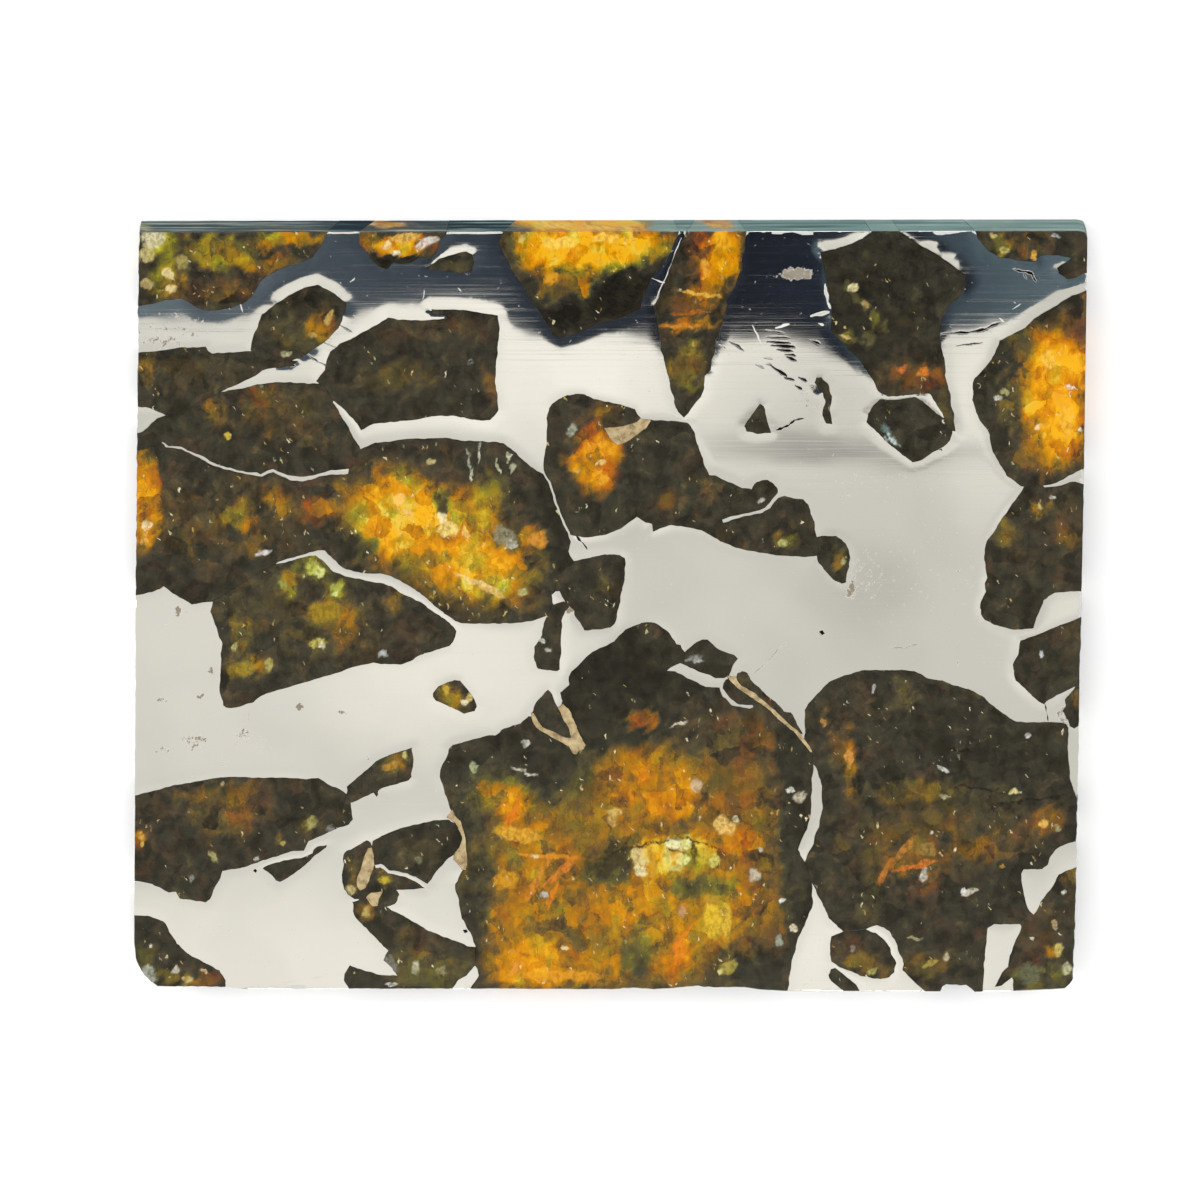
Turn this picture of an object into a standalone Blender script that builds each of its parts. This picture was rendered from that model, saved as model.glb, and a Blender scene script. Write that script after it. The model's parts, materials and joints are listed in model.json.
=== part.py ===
# Pallasite meteorite slice: a thin sawn slab of bright nickel-iron with olivine crystals in it.
# Units are metres, +Z is up, and the slab lies flat with the middle of its lower face at the origin.
# +X runs along the long edges, and +Y points at the long edge that is uppermost in the photograph.

import math

import bmesh
import bpy
from mathutils import Vector

# Driving sizes of the slab
UPPER_EDGE_LENGTH = 0.060
THICKNESS = 0.004

# How the photograph looks at the upper face
VIEW_TILT = math.radians(12.0)
VIEW_DISTANCE = 0.918
UPPER_EDGE_DEPTH = 0.913
UPPER_EDGE_PIXELS = 948.0
PICTURE_CENTRE = (600.0, 600.0)
VIEW_FOCUS = UPPER_EDGE_PIXELS * UPPER_EDGE_DEPTH / UPPER_EDGE_LENGTH

# How the grains run down through the slab: the whole pattern narrows about one picture point
PATTERN_CENTRE = (640.0, 560.0)
PATTERN_NARROWING = 0.03

# Room left between two grains, how far a cutter stands out of the slab, and the limit on its corners
GRAIN_GAP = 0.00004
OVERSHOOT = 0.0006
SHARPEST_CORNER = 0.35

# The outline of the slab, in picture points clockwise from the upper left corner, with its worn corners
SLAB_OUTLINE = [
    (139.5, 232.5), (1079, 231), (1085, 232.5), (1087.3, 238), (1083, 520), (1078.3, 735), (1074.4, 937),
    (1072, 980), (1064, 988.5), (1013, 991), (975, 991.8), (970, 987), (966, 984.3), (946, 984.3),
    (942, 986.5), (940, 991.3), (786, 991), (760, 989.5), (743, 987.3), (698, 986), (653, 989),
    (633, 987.2), (610, 989.2), (471, 988.6), (240, 988.5), (226, 986.6), (157.5, 985.8), (151, 981),
    (145, 975), (139.2, 966.7), (136, 958.3), (134.3, 942), (136.4, 560),
]

# Tan schreibersite along the grain edges, as picture points
SCHREIBERSITE = {
    "schreibersite_fork": [
        (557.5, 708), (563, 704), (567.5, 709), (571, 714), (574, 721), (579, 732), (585, 745.5), (583, 749),
        (578.5, 751.5), (576.5, 754.5), (573.5, 754), (569, 746), (563, 742.5), (547, 734.5), (540, 730.5),
        (535, 725), (532, 718), (531, 713.5), (533.5, 714), (538.3, 721.5), (543, 727.5), (550, 731),
        (568, 738.5), (572, 738), (571, 733), (566.5, 724),
    ],
    "schreibersite_wedge": [
        (604, 428.7), (608.3, 428), (618.3, 427.5), (628.3, 424.7), (636.7, 421.5), (640.8, 418.5),
        (650, 420.5), (646, 428), (635, 436), (621.7, 443.5), (617, 444.2), (613.3, 440.8),
    ],
    "schreibersite_blade": [
        (371, 847.5), (373.5, 855), (374, 865), (369, 881), (365, 888), (359.5, 890), (356, 887), (358, 876),
        (362, 864), (368, 848.5),
    ],
    "schreibersite_chip": [
        (366, 897.5), (371, 893.5), (383, 892), (378.5, 900), (377.5, 905.5), (373, 906.5), (369, 903),
    ],
    "schreibersite_crescent": [
        (447, 817), (452, 809.5), (455, 816), (460, 822), (464, 830), (465.5, 840), (467, 860),
        (466.5, 869.5), (463, 869), (453, 859), (455, 853), (460, 847.5), (462.5, 840), (461.5, 833),
        (458, 826.5), (452.5, 820),
    ],
    "schreibersite_vein": [
        (727.5, 675.5), (736.7, 677), (738, 681), (742, 686), (748.3, 691), (755, 694), (768.3, 705.5),
        (776.7, 712), (791, 726), (801.7, 735.8), (806, 741), (812, 752.5), (809.5, 752), (802, 741.5),
        (793, 731), (783.3, 722.2), (766.7, 708), (760, 703), (740, 690), (735, 685), (730, 679.5),
    ],
}

# Olivine crystals, as picture points. One that is cut off by the slab's edge runs on past it, and one
# that meets a crystal named before it runs a little way into that crystal and is cut by it.
OLIVINE = {
    "olivine_top_left": [
        (100, 195), (345, 195), (327, 233), (320, 246), (312, 257), (298, 263), (284, 267), (270, 274),
        (262, 280), (256, 288), (250, 298), (244, 303), (232, 307), (218, 310), (205, 310), (194, 305),
        (182, 298), (165, 300), (139, 306), (100, 315),
    ],
    "olivine_top_bead": [
        (352, 195), (360, 233), (360, 243), (368, 252), (371, 259), (378, 266), (388, 269), (393, 262),
        (402, 264), (411, 262), (420, 257), (430, 260), (438, 250), (440, 240), (446, 233), (462, 195),
    ],
    "olivine_tear": [
        (427, 268), (440, 259), (455, 254), (465, 252), (472, 255), (474, 263), (472, 270), (462, 273),
        (450, 272),
    ],
    "olivine_top_gold": [
        (506, 195), (692, 195), (678, 233), (672, 247), (665, 262), (657, 270), (652, 277), (646, 290),
        (641, 300), (640, 308), (630, 314), (615, 320), (600, 322), (590, 328), (578, 333), (560, 338),
        (553, 333), (546, 322), (541, 313), (533, 303), (526, 292), (520, 281), (513, 272), (508, 262),
        (501, 247), (500, 240), (503, 232),
    ],
    "olivine_top_wedge": [
        (703, 195), (748, 195), (746, 233), (744, 250), (741, 268), (737, 280), (727, 300), (726, 310),
        (722, 325), (716, 340), (712, 362), (710, 370), (705, 376), (704, 388), (701, 396), (694, 404),
        (688, 413), (684, 417), (679, 412), (675, 402), (669, 378), (662, 350), (658, 325), (654, 306),
        (659, 297), (664, 285), (675, 255), (686, 233),
    ],
    "olivine_top_right": [
        (872, 195), (900, 195), (900, 232), (915, 242), (935, 254), (950, 263), (965, 275), (967, 283),
        (962, 294), (948, 307), (942, 315), (940, 325), (940, 340), (943, 355), (946, 368), (944.5, 376),
        (947, 384), (950, 395), (952, 410), (955, 425), (955, 431), (951, 430.5), (945, 424), (944, 418),
        (941, 410), (934, 400), (929, 393), (915, 394), (900, 395), (888, 396), (880, 393), (875, 383),
        (868, 372), (858, 358), (845, 345), (833, 332), (831, 325), (833, 315), (830, 295), (826, 275),
        (821, 252), (835, 249), (850, 245), (862, 239), (872, 232),
    ],
    "olivine_small_gem": [
        (880, 400), (895, 400), (913, 397.5), (922, 401), (930, 408), (943, 418.5), (946, 421), (952, 430),
        (950, 440), (944, 446), (932, 452), (922, 459), (912, 462), (903, 455), (885, 440), (877, 431),
        (867, 422), (868, 414), (874, 406),
    ],
    "olivine_corner_top_right": [
        (962, 195), (976, 232), (978, 238), (986, 248), (990, 252), (1000, 257), (1012, 258), (1020, 261),
        (1036, 262), (1040, 255), (1050, 254), (1060, 256), (1072, 258), (1066, 262.5), (1058.5, 268),
        (1060, 274), (1067, 279), (1076, 277), (1082, 273), (1095, 272), (1125, 272), (1125, 195),
    ],
    "olivine_fleck_long": [
        (817, 378), (822, 378), (828, 386), (831, 396), (829, 410), (831, 418), (831, 423), (826, 423),
        (823, 416), (823, 410), (825, 402), (824, 393), (818, 388), (815, 383),
    ],
    "olivine_fleck_triangle": [
        (760, 404), (763, 406), (767, 422), (770, 432), (757, 433), (747, 431), (745, 426), (752, 415),
    ],
    "olivine_right_gold": [
        (1125, 276), (1095, 287), (1072, 296), (1060, 303), (1035, 319), (1025, 328), (1012, 335),
        (1000, 341), (996, 350), (992, 360), (983, 370), (975, 378), (973, 388), (973, 400), (977, 412),
        (983, 424), (990, 435), (992.5, 450), (1000, 465), (1007.5, 475), (1015, 481), (1021, 486),
        (1030, 486.5), (1040, 485.5), (1050, 484), (1057.5, 482), (1065, 478.5), (1080, 470), (1125, 446),
    ],
    "olivine_left_hexagon": [
        (262, 315), (275, 305), (290, 295), (304, 288), (317, 285), (331, 292), (346, 302), (345, 312),
        (338, 328), (328, 338), (318, 346), (305, 355), (292, 360), (280, 361), (266, 359.5), (256, 357),
        (251, 350), (254, 335), (258, 326),
    ],
    "olivine_left_band": [
        (100, 356), (139, 353), (160, 351), (185, 348), (206, 346.5), (208, 351), (212, 354), (230, 353),
        (248, 351.5), (254, 352), (275, 358), (297, 361.5), (292, 366), (268, 368), (262, 370), (255, 376),
        (245, 380), (222, 391), (200, 402), (184, 408.5), (169, 416), (161, 412.3), (149, 407.7),
        (140, 406.7), (100, 398),
    ],
    "olivine_upper_left": [
        (317, 381), (325, 370), (327, 362), (330, 352), (340, 344), (352, 340), (362, 333), (372, 328),
        (388, 318), (398, 320), (425, 321), (450, 318.5), (445, 315.5), (433, 313.5), (432, 310),
        (455, 310), (470, 311), (485, 314), (497, 316), (499, 330), (497, 350), (495, 372), (496, 390),
        (498.3, 404), (498, 410), (490, 420), (476.7, 420), (460, 416.7), (453, 415), (431.7, 416.2),
        (416.7, 418.7), (400, 420.8), (373.3, 423.7), (361.7, 430), (353, 418), (346.7, 412),
        (335.5, 401.5), (331, 396), (325, 387),
    ],
    "olivine_left_lens": [
        (100, 437), (137, 433.5), (142.5, 432.5), (150, 425), (157, 418.7), (170, 414), (183, 406),
        (200, 399.5), (215, 394), (235, 390), (258, 385), (275, 383), (300, 383), (318, 384), (327, 384),
        (334, 398), (333, 402.5), (338.3, 411.7), (348.3, 428), (353.3, 438), (359.2, 449), (355, 462),
        (350, 468.5), (330, 470), (318.3, 473.8), (306.7, 476), (296.7, 476), (286.7, 475), (278.3, 471.3),
        (273.3, 469.3), (268.3, 469.9), (260, 473.7), (256.7, 472.2), (246.7, 471.5), (228.3, 467.7),
        (220, 465.2), (210, 460.3), (203.3, 456.2), (188.3, 450.3), (181.7, 446.5), (169.2, 445.8),
        (161.7, 441.2), (158, 444.5), (152, 447), (137, 450.5), (100, 455),
    ],
    "olivine_left_triangle": [
        (213.3, 600.8), (211.7, 611.7), (213.3, 618.3), (216.7, 626.7), (222.5, 643.3), (222.5, 650),
        (220.8, 656.7), (221.7, 666.7), (220, 688.3), (221.7, 698.3), (224.2, 705), (228.3, 707.5),
        (236.7, 707.5), (253.3, 701.7), (260, 695.8), (278.3, 689.2), (290, 686.7), (313.3, 679.2),
        (326.7, 675.8), (350, 667.5), (373.3, 662.5), (380, 663.7), (400, 663.7), (410, 660.8), (420, 655),
        (440, 648.3), (450, 645.8), (453.3, 641.7), (456.2, 631), (454.2, 627), (436.7, 614.2),
        (418.3, 601.7), (398.3, 591.7), (390, 586.5), (380, 583.3), (351.7, 578.3), (333.3, 571.7),
        (323.3, 561.7), (315, 555.5), (305, 556.8), (285, 563), (275.8, 564.5), (255, 575), (235, 589),
    ],
    "olivine_centre_dark": [
        (573, 562), (590, 557.5), (601.7, 555.8), (610, 555), (620, 555.5), (623.7, 558), (625, 564),
        (624.5, 572), (621, 593), (616.7, 616.7), (614, 623.5), (610, 626.7), (600, 628.7), (584.2, 630),
        (579, 621.5), (576, 616.5), (574.5, 611), (566.5, 602), (561, 595), (559.3, 591), (554.5, 590.8),
        (556, 584), (559, 577), (564, 569.5),
    ],
    "olivine_peg": [
        (551.7, 606), (558.3, 603.7), (564.5, 602), (569, 604), (568.5, 607), (564.2, 611.7),
        (562.5, 616.7), (561.3, 630), (560.5, 660), (559.7, 669), (556.7, 670.8), (546.7, 670),
        (537.5, 668.3), (534.2, 656.7), (535, 646.7), (540.8, 638.3), (542.5, 630), (546.7, 616.5),
    ],
    "olivine_left_gold": [
        (360, 449.5), (375, 443.3), (400, 440), (413.3, 438.8), (450, 438.7), (460, 440.8), (496.7, 442.5),
        (503.3, 443.7), (516.7, 454.2), (530, 466.7), (536.7, 470.8), (543.8, 474.5), (547.6, 482),
        (554.3, 502), (562.5, 523.5), (567.5, 533), (570.8, 541.7), (567.5, 551.7), (571.7, 558.3),
        (573.3, 561), (567, 571), (560.5, 582), (556.5, 589), (551.7, 594.5), (552.3, 602.5), (554, 607),
        (552, 612), (547.5, 614.8), (533.3, 620.3), (523.3, 622), (496.7, 623.3), (463.3, 623),
        (455, 620.8), (445, 613.3), (428.3, 600), (420, 592.5), (410, 585.8), (390, 575.3), (380, 573),
        (366.7, 573.3), (355, 571.7), (346.7, 569.2), (340, 565), (328.3, 553.3), (324.2, 550.3),
        (317, 550.2), (286, 558.7), (275.8, 562.8), (258, 577), (240, 588.5), (225, 598), (213.3, 600.8),
        (191.7, 603.7), (176.7, 595), (164.2, 585.8), (160, 589.2), (151.7, 591.7), (135.8, 595),
        (100, 596), (100, 450), (137, 446), (153, 442.5), (161.7, 443.5), (165.8, 447.3), (181.7, 449.7),
        (196.7, 457.5), (213.3, 465.5), (223.3, 469.7), (246.7, 474.3), (261.7, 476.8), (268.3, 473.8),
        (273.3, 472.8), (280, 476.3), (290, 480.2), (300, 481.5), (311.7, 480.3), (318.3, 477.3),
        (330, 474.8), (349.5, 474.5), (349, 467), (354, 458),
    ],
    "olivine_centre": [
        (549.2, 408.3), (551.7, 404.2), (560, 399.2), (568.3, 395.8), (576.7, 394.2), (584, 394.5),
        (593.3, 399.5), (610, 402.5), (630, 408), (635, 410), (640.5, 417.5), (643, 422), (650, 420.3),
        (678.3, 421.7), (687.5, 423.3), (690, 425.8), (696.7, 443.3), (705, 468.3), (709.2, 476),
        (684, 480), (668, 484), (652, 491), (641, 500), (636.5, 509), (637.3, 516.3), (620.8, 528.3),
        (606.7, 534.2), (588.3, 537), (575, 535.8), (570.7, 534.3), (562.3, 515), (557.8, 503),
        (550.8, 482), (543.8, 470), (543.8, 465), (547.2, 445), (548, 418.3),
    ],
    "olivine_centre_tail": [
        (709.5, 475.5), (715, 475.8), (735, 485), (741.7, 488.3), (751.7, 489.7), (753.3, 486.3),
        (757.5, 482.5), (763.3, 480.3), (768.3, 480.5), (773.3, 483.3), (776.2, 488.3), (776.5, 493),
        (770.5, 502), (764.5, 507.8), (753.3, 511.8), (730, 516.5), (721.7, 519.5), (723, 523), (744, 517),
        (761, 513.5), (770.5, 508), (778, 498.5), (785, 496.3), (803.8, 500), (808, 505), (813.8, 521.3),
        (818, 548), (817.5, 555), (805, 556.8), (778.3, 555), (741.7, 549.2), (720, 540.8), (705, 531.3),
        (690, 527.2), (671.7, 524.7), (653.3, 530.8), (652, 523.3), (645, 522.5), (638, 516.5),
        (634, 511), (640, 497), (655, 486), (672, 480), (690, 476), (704, 473),
    ],
    "olivine_tail_tip": [
        (816, 537.5), (821.3, 536.3), (836.3, 536.5), (841.3, 539.5), (845.5, 543), (848.8, 550),
        (850, 557.5), (847, 576.3), (845.5, 582), (841.3, 583.3), (836.3, 581.3), (830, 576.3),
        (818.8, 562), (818, 555.5), (814.5, 552), (814.5, 541),
    ],
    "olivine_right_middle": [
        (1022.5, 489.5), (1026, 484), (1038, 483.5), (1044, 487.5), (1052.5, 487), (1062.5, 485.5),
        (1070, 483), (1075, 482.3), (1125, 496), (1125, 590), (1067.5, 591.5), (1055, 592.5), (1043, 600),
        (1040, 607.5), (1033.3, 627.5), (1015, 629.3), (1005, 627.5), (995, 624.5), (985, 619.5),
        (980.8, 613.8), (980, 607.5), (981.3, 601.3), (986.3, 591.3), (985.5, 582.5), (987.5, 577.5),
        (985, 557.5), (985, 548.8), (988, 541.3), (1000, 522.5),
    ],
    "olivine_right_small": [
        (1021, 640.5), (1040, 634.4), (1060, 625.6), (1080, 617.6), (1125, 600), (1125, 690), (1080, 687),
        (1075, 686.4), (1060, 693.6), (1048, 700), (1043, 703.6), (1039, 701), (1022, 686), (1017, 680),
        (1014, 673), (1014, 665), (1017, 656),
    ],
    "olivine_right_chip": [
        (1065, 700), (1074, 690), (1077, 686), (1125, 684), (1125, 728), (1079, 725), (1074, 728),
        (1070, 726), (1069, 720), (1063, 711), (1066, 706),
    ],
    "olivine_bead": [
        (454.2, 680.3), (460, 681.3), (463.3, 685), (472.5, 695.8), (476.7, 706.7), (475, 710.8),
        (465, 713.3), (450, 706.3), (435.8, 700), (433.3, 696.7), (434.2, 692.5), (438.3, 686.7),
        (444.2, 683.3),
    ],
    "olivine_fork_piece": [
        (547.5, 690.5), (551.5, 694.5), (556, 706), (562.5, 715.5), (568, 725), (573, 736), (573.5, 742),
        (567, 741), (549, 733), (541.5, 729), (536, 722.5), (531.5, 715), (534.2, 707.5), (544.2, 693.3),
    ],
    "olivine_centre_gold": [
        (684.5, 652), (683.3, 658), (683, 664), (680, 663.3), (673.3, 665.8), (666, 671.5), (675, 672),
        (691.7, 680.3), (706.7, 687.5), (719.5, 688), (720.3, 692), (722.3, 697), (731.7, 705.3),
        (750, 709), (754, 707.5), (753, 705), (740, 704), (729.5, 697.5), (723.2, 688), (724, 683),
        (726.5, 679.5), (731, 678), (737, 684), (745, 690.5), (765, 705), (777, 714.5), (796, 732),
        (804, 741), (811, 751), (813, 762), (811, 785), (810, 818), (806.7, 828.3), (800, 843.3),
        (797, 849.7), (805, 863.5), (810.8, 880.8), (812.5, 903.3), (806.7, 918.3), (798.3, 936.7),
        (792.5, 956.7), (788.3, 980), (783, 1030), (471, 1030), (471.6, 988), (478, 976), (478, 969),
        (475.5, 965), (475.6, 946), (468, 928), (462, 918), (457, 894), (455.4, 884), (458, 878),
        (464, 870), (464.5, 860), (463, 840), (461.5, 832), (457.5, 824), (450.5, 808), (445.8, 793.3),
        (440, 776.7), (440.8, 770), (447.5, 756.7), (449.2, 750), (453.3, 745.8), (471.7, 740), (488.3, 735),
        (495, 735.8), (505, 729.2), (521.7, 723.3), (528.3, 716.5), (533, 717.5), (537, 725), (542, 730),
        (560, 738), (574, 747), (579, 745), (572, 727), (561.5, 705), (563.3, 700), (560.8, 692.5),
        (569.2, 685), (569.7, 676.7), (571.7, 671.7), (580, 663.3), (593.3, 651.7), (606.7, 645.8),
        (613.3, 641.7), (626.7, 630), (641.7, 623), (648.3, 622), (655, 623.3), (661.7, 627.5),
        (668.3, 633.3), (675.8, 644.2), (680, 645),
    ],
    "olivine_centre_cap": [
        (686, 652), (696.7, 642.5), (701.7, 640), (706.7, 640), (718.3, 649.2), (735, 656.7), (737.2, 659),
        (732.5, 667), (729, 674.8), (724.2, 677.5), (715, 678.3), (696.7, 669.5), (681, 663), (680, 656),
    ],
    "olivine_centre_sliver": [
        (738.5, 673.5), (742, 671.8), (746.7, 673.5), (750, 680), (766.7, 695), (778.3, 705),
        (783.3, 711.7), (790, 712.5), (796.7, 725), (801.5, 733.5), (798, 733), (786, 722), (768.5, 706.5),
        (755, 695.5), (741.5, 686.5), (736.5, 679),
    ],
    "olivine_right_dark": [
        (805, 736), (805, 710), (809, 704), (822, 689), (830, 682), (840, 678), (862, 670.6), (902, 670.4),
        (914, 671.6), (930, 679.6), (942, 681), (952, 685), (964, 688), (974, 692), (984, 698),
        (1000, 712), (1010, 719), (1018, 722), (1060, 723), (1066, 724), (1068, 728), (1067.4, 752),
        (1070, 780), (1077, 798), (1125, 820), (1125, 826), (1076, 840.4), (1064, 844), (1055, 850),
        (1051, 856), (1048, 864), (1042, 869), (1023, 869), (1021, 874), (1024, 898), (1030.5, 914.5),
        (1020.5, 924), (994, 924), (987, 928), (985, 946), (983, 980), (980, 1030), (930, 1030),
        (926, 991.4), (914, 981), (903, 970), (903.6, 964), (899, 948), (890, 932), (884, 927), (876, 925),
        (870, 926), (865.6, 929), (854, 930.5), (843, 931), (830, 918), (820, 898), (811, 881.5),
        (806, 876), (803, 867), (807, 859), (815, 840), (822, 814), (822.8, 804), (821, 780), (817, 768),
        (810, 760), (809, 754),
    ],
    "olivine_lower_lens": [
        (843, 932), (845, 928.5), (864, 927), (866, 929.8), (876, 933), (884, 940), (890, 948), (895, 964),
        (894, 972), (888, 977), (880, 979), (860, 975), (840, 967), (833, 961), (830.6, 954), (830.6, 944),
        (832, 937),
    ],
    "olivine_lower_chip": [
        (829, 975), (831, 969), (835, 968), (854, 984), (866, 1000), (866, 1030), (850, 1030), (844, 991),
        (832, 981),
    ],
    "olivine_corner_bottom_right": [
        (1034, 915), (1028, 911), (1019.5, 921.5), (1022, 926.5), (1014, 946), (1010, 956), (1009, 967),
        (1002, 973), (996, 986), (1002, 985), (1012, 976.5), (1014, 980), (1012, 1030), (1125, 1030),
        (1125, 850), (1068, 870), (1059, 875), (1056, 882), (1044, 898),
    ],
    "olivine_lower_left_band": [
        (100, 805), (135.8, 795.8), (160, 789.2), (180, 784.7), (220, 777.8), (240, 777.2), (260, 778.3),
        (280, 777.8), (306.7, 779.5), (318.3, 778.3), (330, 785.8), (340, 790), (347.5, 796), (350, 801),
        (352.8, 819.2), (348.3, 824.7), (338.3, 827.5), (308.3, 840.8), (303.3, 850), (290, 851.3),
        (250, 864.7), (240, 867.5), (222.5, 870.8), (218.3, 880), (209.2, 899.2), (205.8, 901.7),
        (180, 898.3), (176.7, 891.7), (170, 891.7), (151.7, 883.7), (137.5, 880.8), (100, 884),
    ],
    "olivine_band_tip": [
        (347, 787), (356, 780), (364, 772), (376, 762), (396, 753), (412, 748.4), (413, 760), (411, 777),
        (408, 780), (384, 787), (378, 790), (377, 796), (374.4, 792), (352, 802.4), (348, 800.5),
        (345.5, 796), (347, 793),
    ],
    "olivine_left_sliver": [
        (264.2, 869.2), (268.3, 865.8), (283.3, 860.8), (301.7, 858), (312.5, 853.3), (313.3, 850),
        (316.7, 847), (326.7, 845.3), (325.8, 847.5), (314.5, 855), (310, 860), (300, 869.2), (280, 881.3),
        (276.7, 879.7), (272.5, 874.7),
    ],
    "olivine_corner_bottom_left": [
        (100, 915), (140, 915.8), (150, 916.7), (163.3, 921.7), (170, 931.7), (176.7, 944.2), (183.3, 950),
        (191.7, 956.7), (220, 970.8), (225, 980.8), (228, 1030), (100, 1030),
    ],
    "olivine_cluster_left": [
        (344, 854), (347, 851), (354, 848), (367, 840), (370, 842.4), (371.5, 849), (375, 868.5),
        (380, 867.8), (383.5, 869.3), (388, 874), (407, 877.3), (415, 881.5), (423, 888), (394, 889.6),
        (397, 891.5), (399, 894.5), (397, 900), (394, 903.5), (384, 907), (379, 905), (378, 899),
        (366, 899.5), (355, 898), (348, 894), (344, 889), (342.4, 882), (343.6, 864),
    ],
    "olivine_cluster_dark": [
        (372.8, 841), (380, 837), (400, 829), (424, 823), (436, 820.4), (448, 819.8), (454, 823.5),
        (460, 831), (463.5, 840), (461.5, 848), (456, 853), (448, 858), (436, 872), (431, 880),
        (427, 883.6), (416, 876.5), (408, 873), (389, 870), (384.5, 865.5), (380, 863.5), (374, 864.5),
        (371.5, 856), (371.5, 849),
    ],
    "olivine_bottom_left": [
        (353, 902), (358, 900.6), (361.5, 897.5), (366, 897), (374, 902), (384, 906), (390, 910),
        (410, 920), (428, 931), (470, 947), (478, 948), (479, 955), (478, 963), (474.5, 965.5),
        (466, 975), (458, 980), (452.4, 987.6), (449, 1030), (352, 1030), (349, 987.6), (344, 980),
        (345, 974), (350, 966), (370, 972.4), (382, 975.6), (399, 976.5), (390, 966), (384.4, 960),
        (386, 955), (389, 951), (370, 932), (362, 923), (356, 918), (353.6, 912),
    ],
}

# Crystals that stand alone in the metal also narrow towards the lower face, by these shares
OWN_NARROWING = {
    "olivine_top_left": 0.05,
    "olivine_top_bead": 0.22,
    "olivine_tear": 0.35,
    "olivine_top_gold": 0.10,
    "olivine_top_wedge": 0.12,
    "olivine_corner_top_right": 0.06,
    "olivine_fleck_long": 0.15,
    "olivine_fleck_triangle": 0.30,
    "olivine_bead": 0.25,
    "olivine_left_sliver": 0.15,
    "olivine_corner_bottom_left": 0.06,
    "olivine_lower_chip": 0.10,
}

# The metal, and the pieces of it that the crystals close off, each by a picture point inside it
MAIN_METAL = "metal_matrix"
METAL_PIECES = {
    MAIN_METAL: (520, 370),
    "metal_bit_left": (147, 417),
    "metal_vein_left": (250, 473),
    "metal_bit_centre": (557, 597),
    "metal_sliver_centre": (700, 678.5),
    "metal_pocket_lower_left": (440, 900),
    "metal_bit_bottom": (467, 982),
    "metal_vein_right": (816, 800),
    "metal_pocket_bottom": (815, 950),
    "metal_block_bottom_right": (1000, 945),
    "metal_bit_right_lower": (1045, 880),
    "metal_bit_right_upper": (1072, 479.5),
}

# Colour, roughness and metallic value of each mineral
MINERALS = {
    "nickel iron": ((0.66, 0.65, 0.62), 0.16, 1.0),
    "schreibersite": ((0.62, 0.53, 0.38), 0.30, 1.0),
    "golden olivine": ((0.55, 0.30, 0.04), 0.10, 0.0),
    "dark olivine": ((0.055, 0.050, 0.035), 0.12, 0.0),
}
GOLDEN_CRYSTALS = {
    "olivine_top_left", "olivine_top_bead", "olivine_top_gold", "olivine_top_wedge", "olivine_right_gold",
    "olivine_left_gold", "olivine_left_triangle", "olivine_bead", "olivine_centre_gold",
}


def remove_objects(items):
    for item in list(items):
        bpy.data.objects.remove(item, do_unlink=True)


def make_minerals():
    materials = {}
    for name, (colour, roughness, metallic) in MINERALS.items():
        material = bpy.data.materials.new(name)
        material.use_nodes = True
        shader = material.node_tree.nodes["Principled BSDF"]
        shader.inputs["Base Color"].default_value = (*colour, 1.0)
        shader.inputs["Roughness"].default_value = roughness
        shader.inputs["Metallic"].default_value = metallic
        materials[name] = material
    return materials


def sighted_point(picture_point):
    # Follows the line of sight through a picture point down to the slab's upper face.
    across = (picture_point[0] - PICTURE_CENTRE[0]) / VIEW_FOCUS
    upward = (PICTURE_CENTRE[1] - picture_point[1]) / VIEW_FOCUS
    y = upward * VIEW_DISTANCE / (math.cos(VIEW_TILT) + upward * math.sin(VIEW_TILT))
    depth = VIEW_DISTANCE - y * math.sin(VIEW_TILT)
    return Vector((across * depth, y))


def slab_centre():
    points = [sighted_point(point) for point in SLAB_OUTLINE]
    xs = [point.x for point in points]
    ys = [point.y for point in points]
    return Vector((min(xs) + max(xs), min(ys) + max(ys))) / 2.0


def face_point(picture_point):
    return sighted_point(picture_point) - slab_centre()


def face_outline(picture_points):
    # The points run anticlockwise seen from above, whichever way they were read.
    points = [face_point(point) for point in picture_points]
    doubled_area = sum(points[i - 1].cross(points[i]) for i in range(len(points)))
    return points if doubled_area > 0 else points[::-1]


def outward_steps(points):
    # For each corner, the move that shifts both its sides outward by one unit.
    steps = []
    for i, point in enumerate(points):
        before = (point - points[i - 1]).normalized()
        after = (points[(i + 1) % len(points)] - point).normalized()
        normal_before = Vector((before.y, -before.x))
        normal_after = Vector((after.y, -after.x))
        middle = (normal_before + normal_after).normalized()
        steps.append(middle / max(middle.dot(normal_after), SHARPEST_CORNER))
    return steps


def grain_moves(points, own_narrowing):
    # For each corner, how far it moves sideways from the upper face down to the lower face.
    pattern_centre = face_point(PATTERN_CENTRE)
    own_centre = sum(points, Vector((0.0, 0.0))) / len(points)
    moves = []
    for point in points:
        shared = (pattern_centre - point) * PATTERN_NARROWING
        moves.append(shared + (own_centre - point) * own_narrowing)
    return moves


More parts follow.
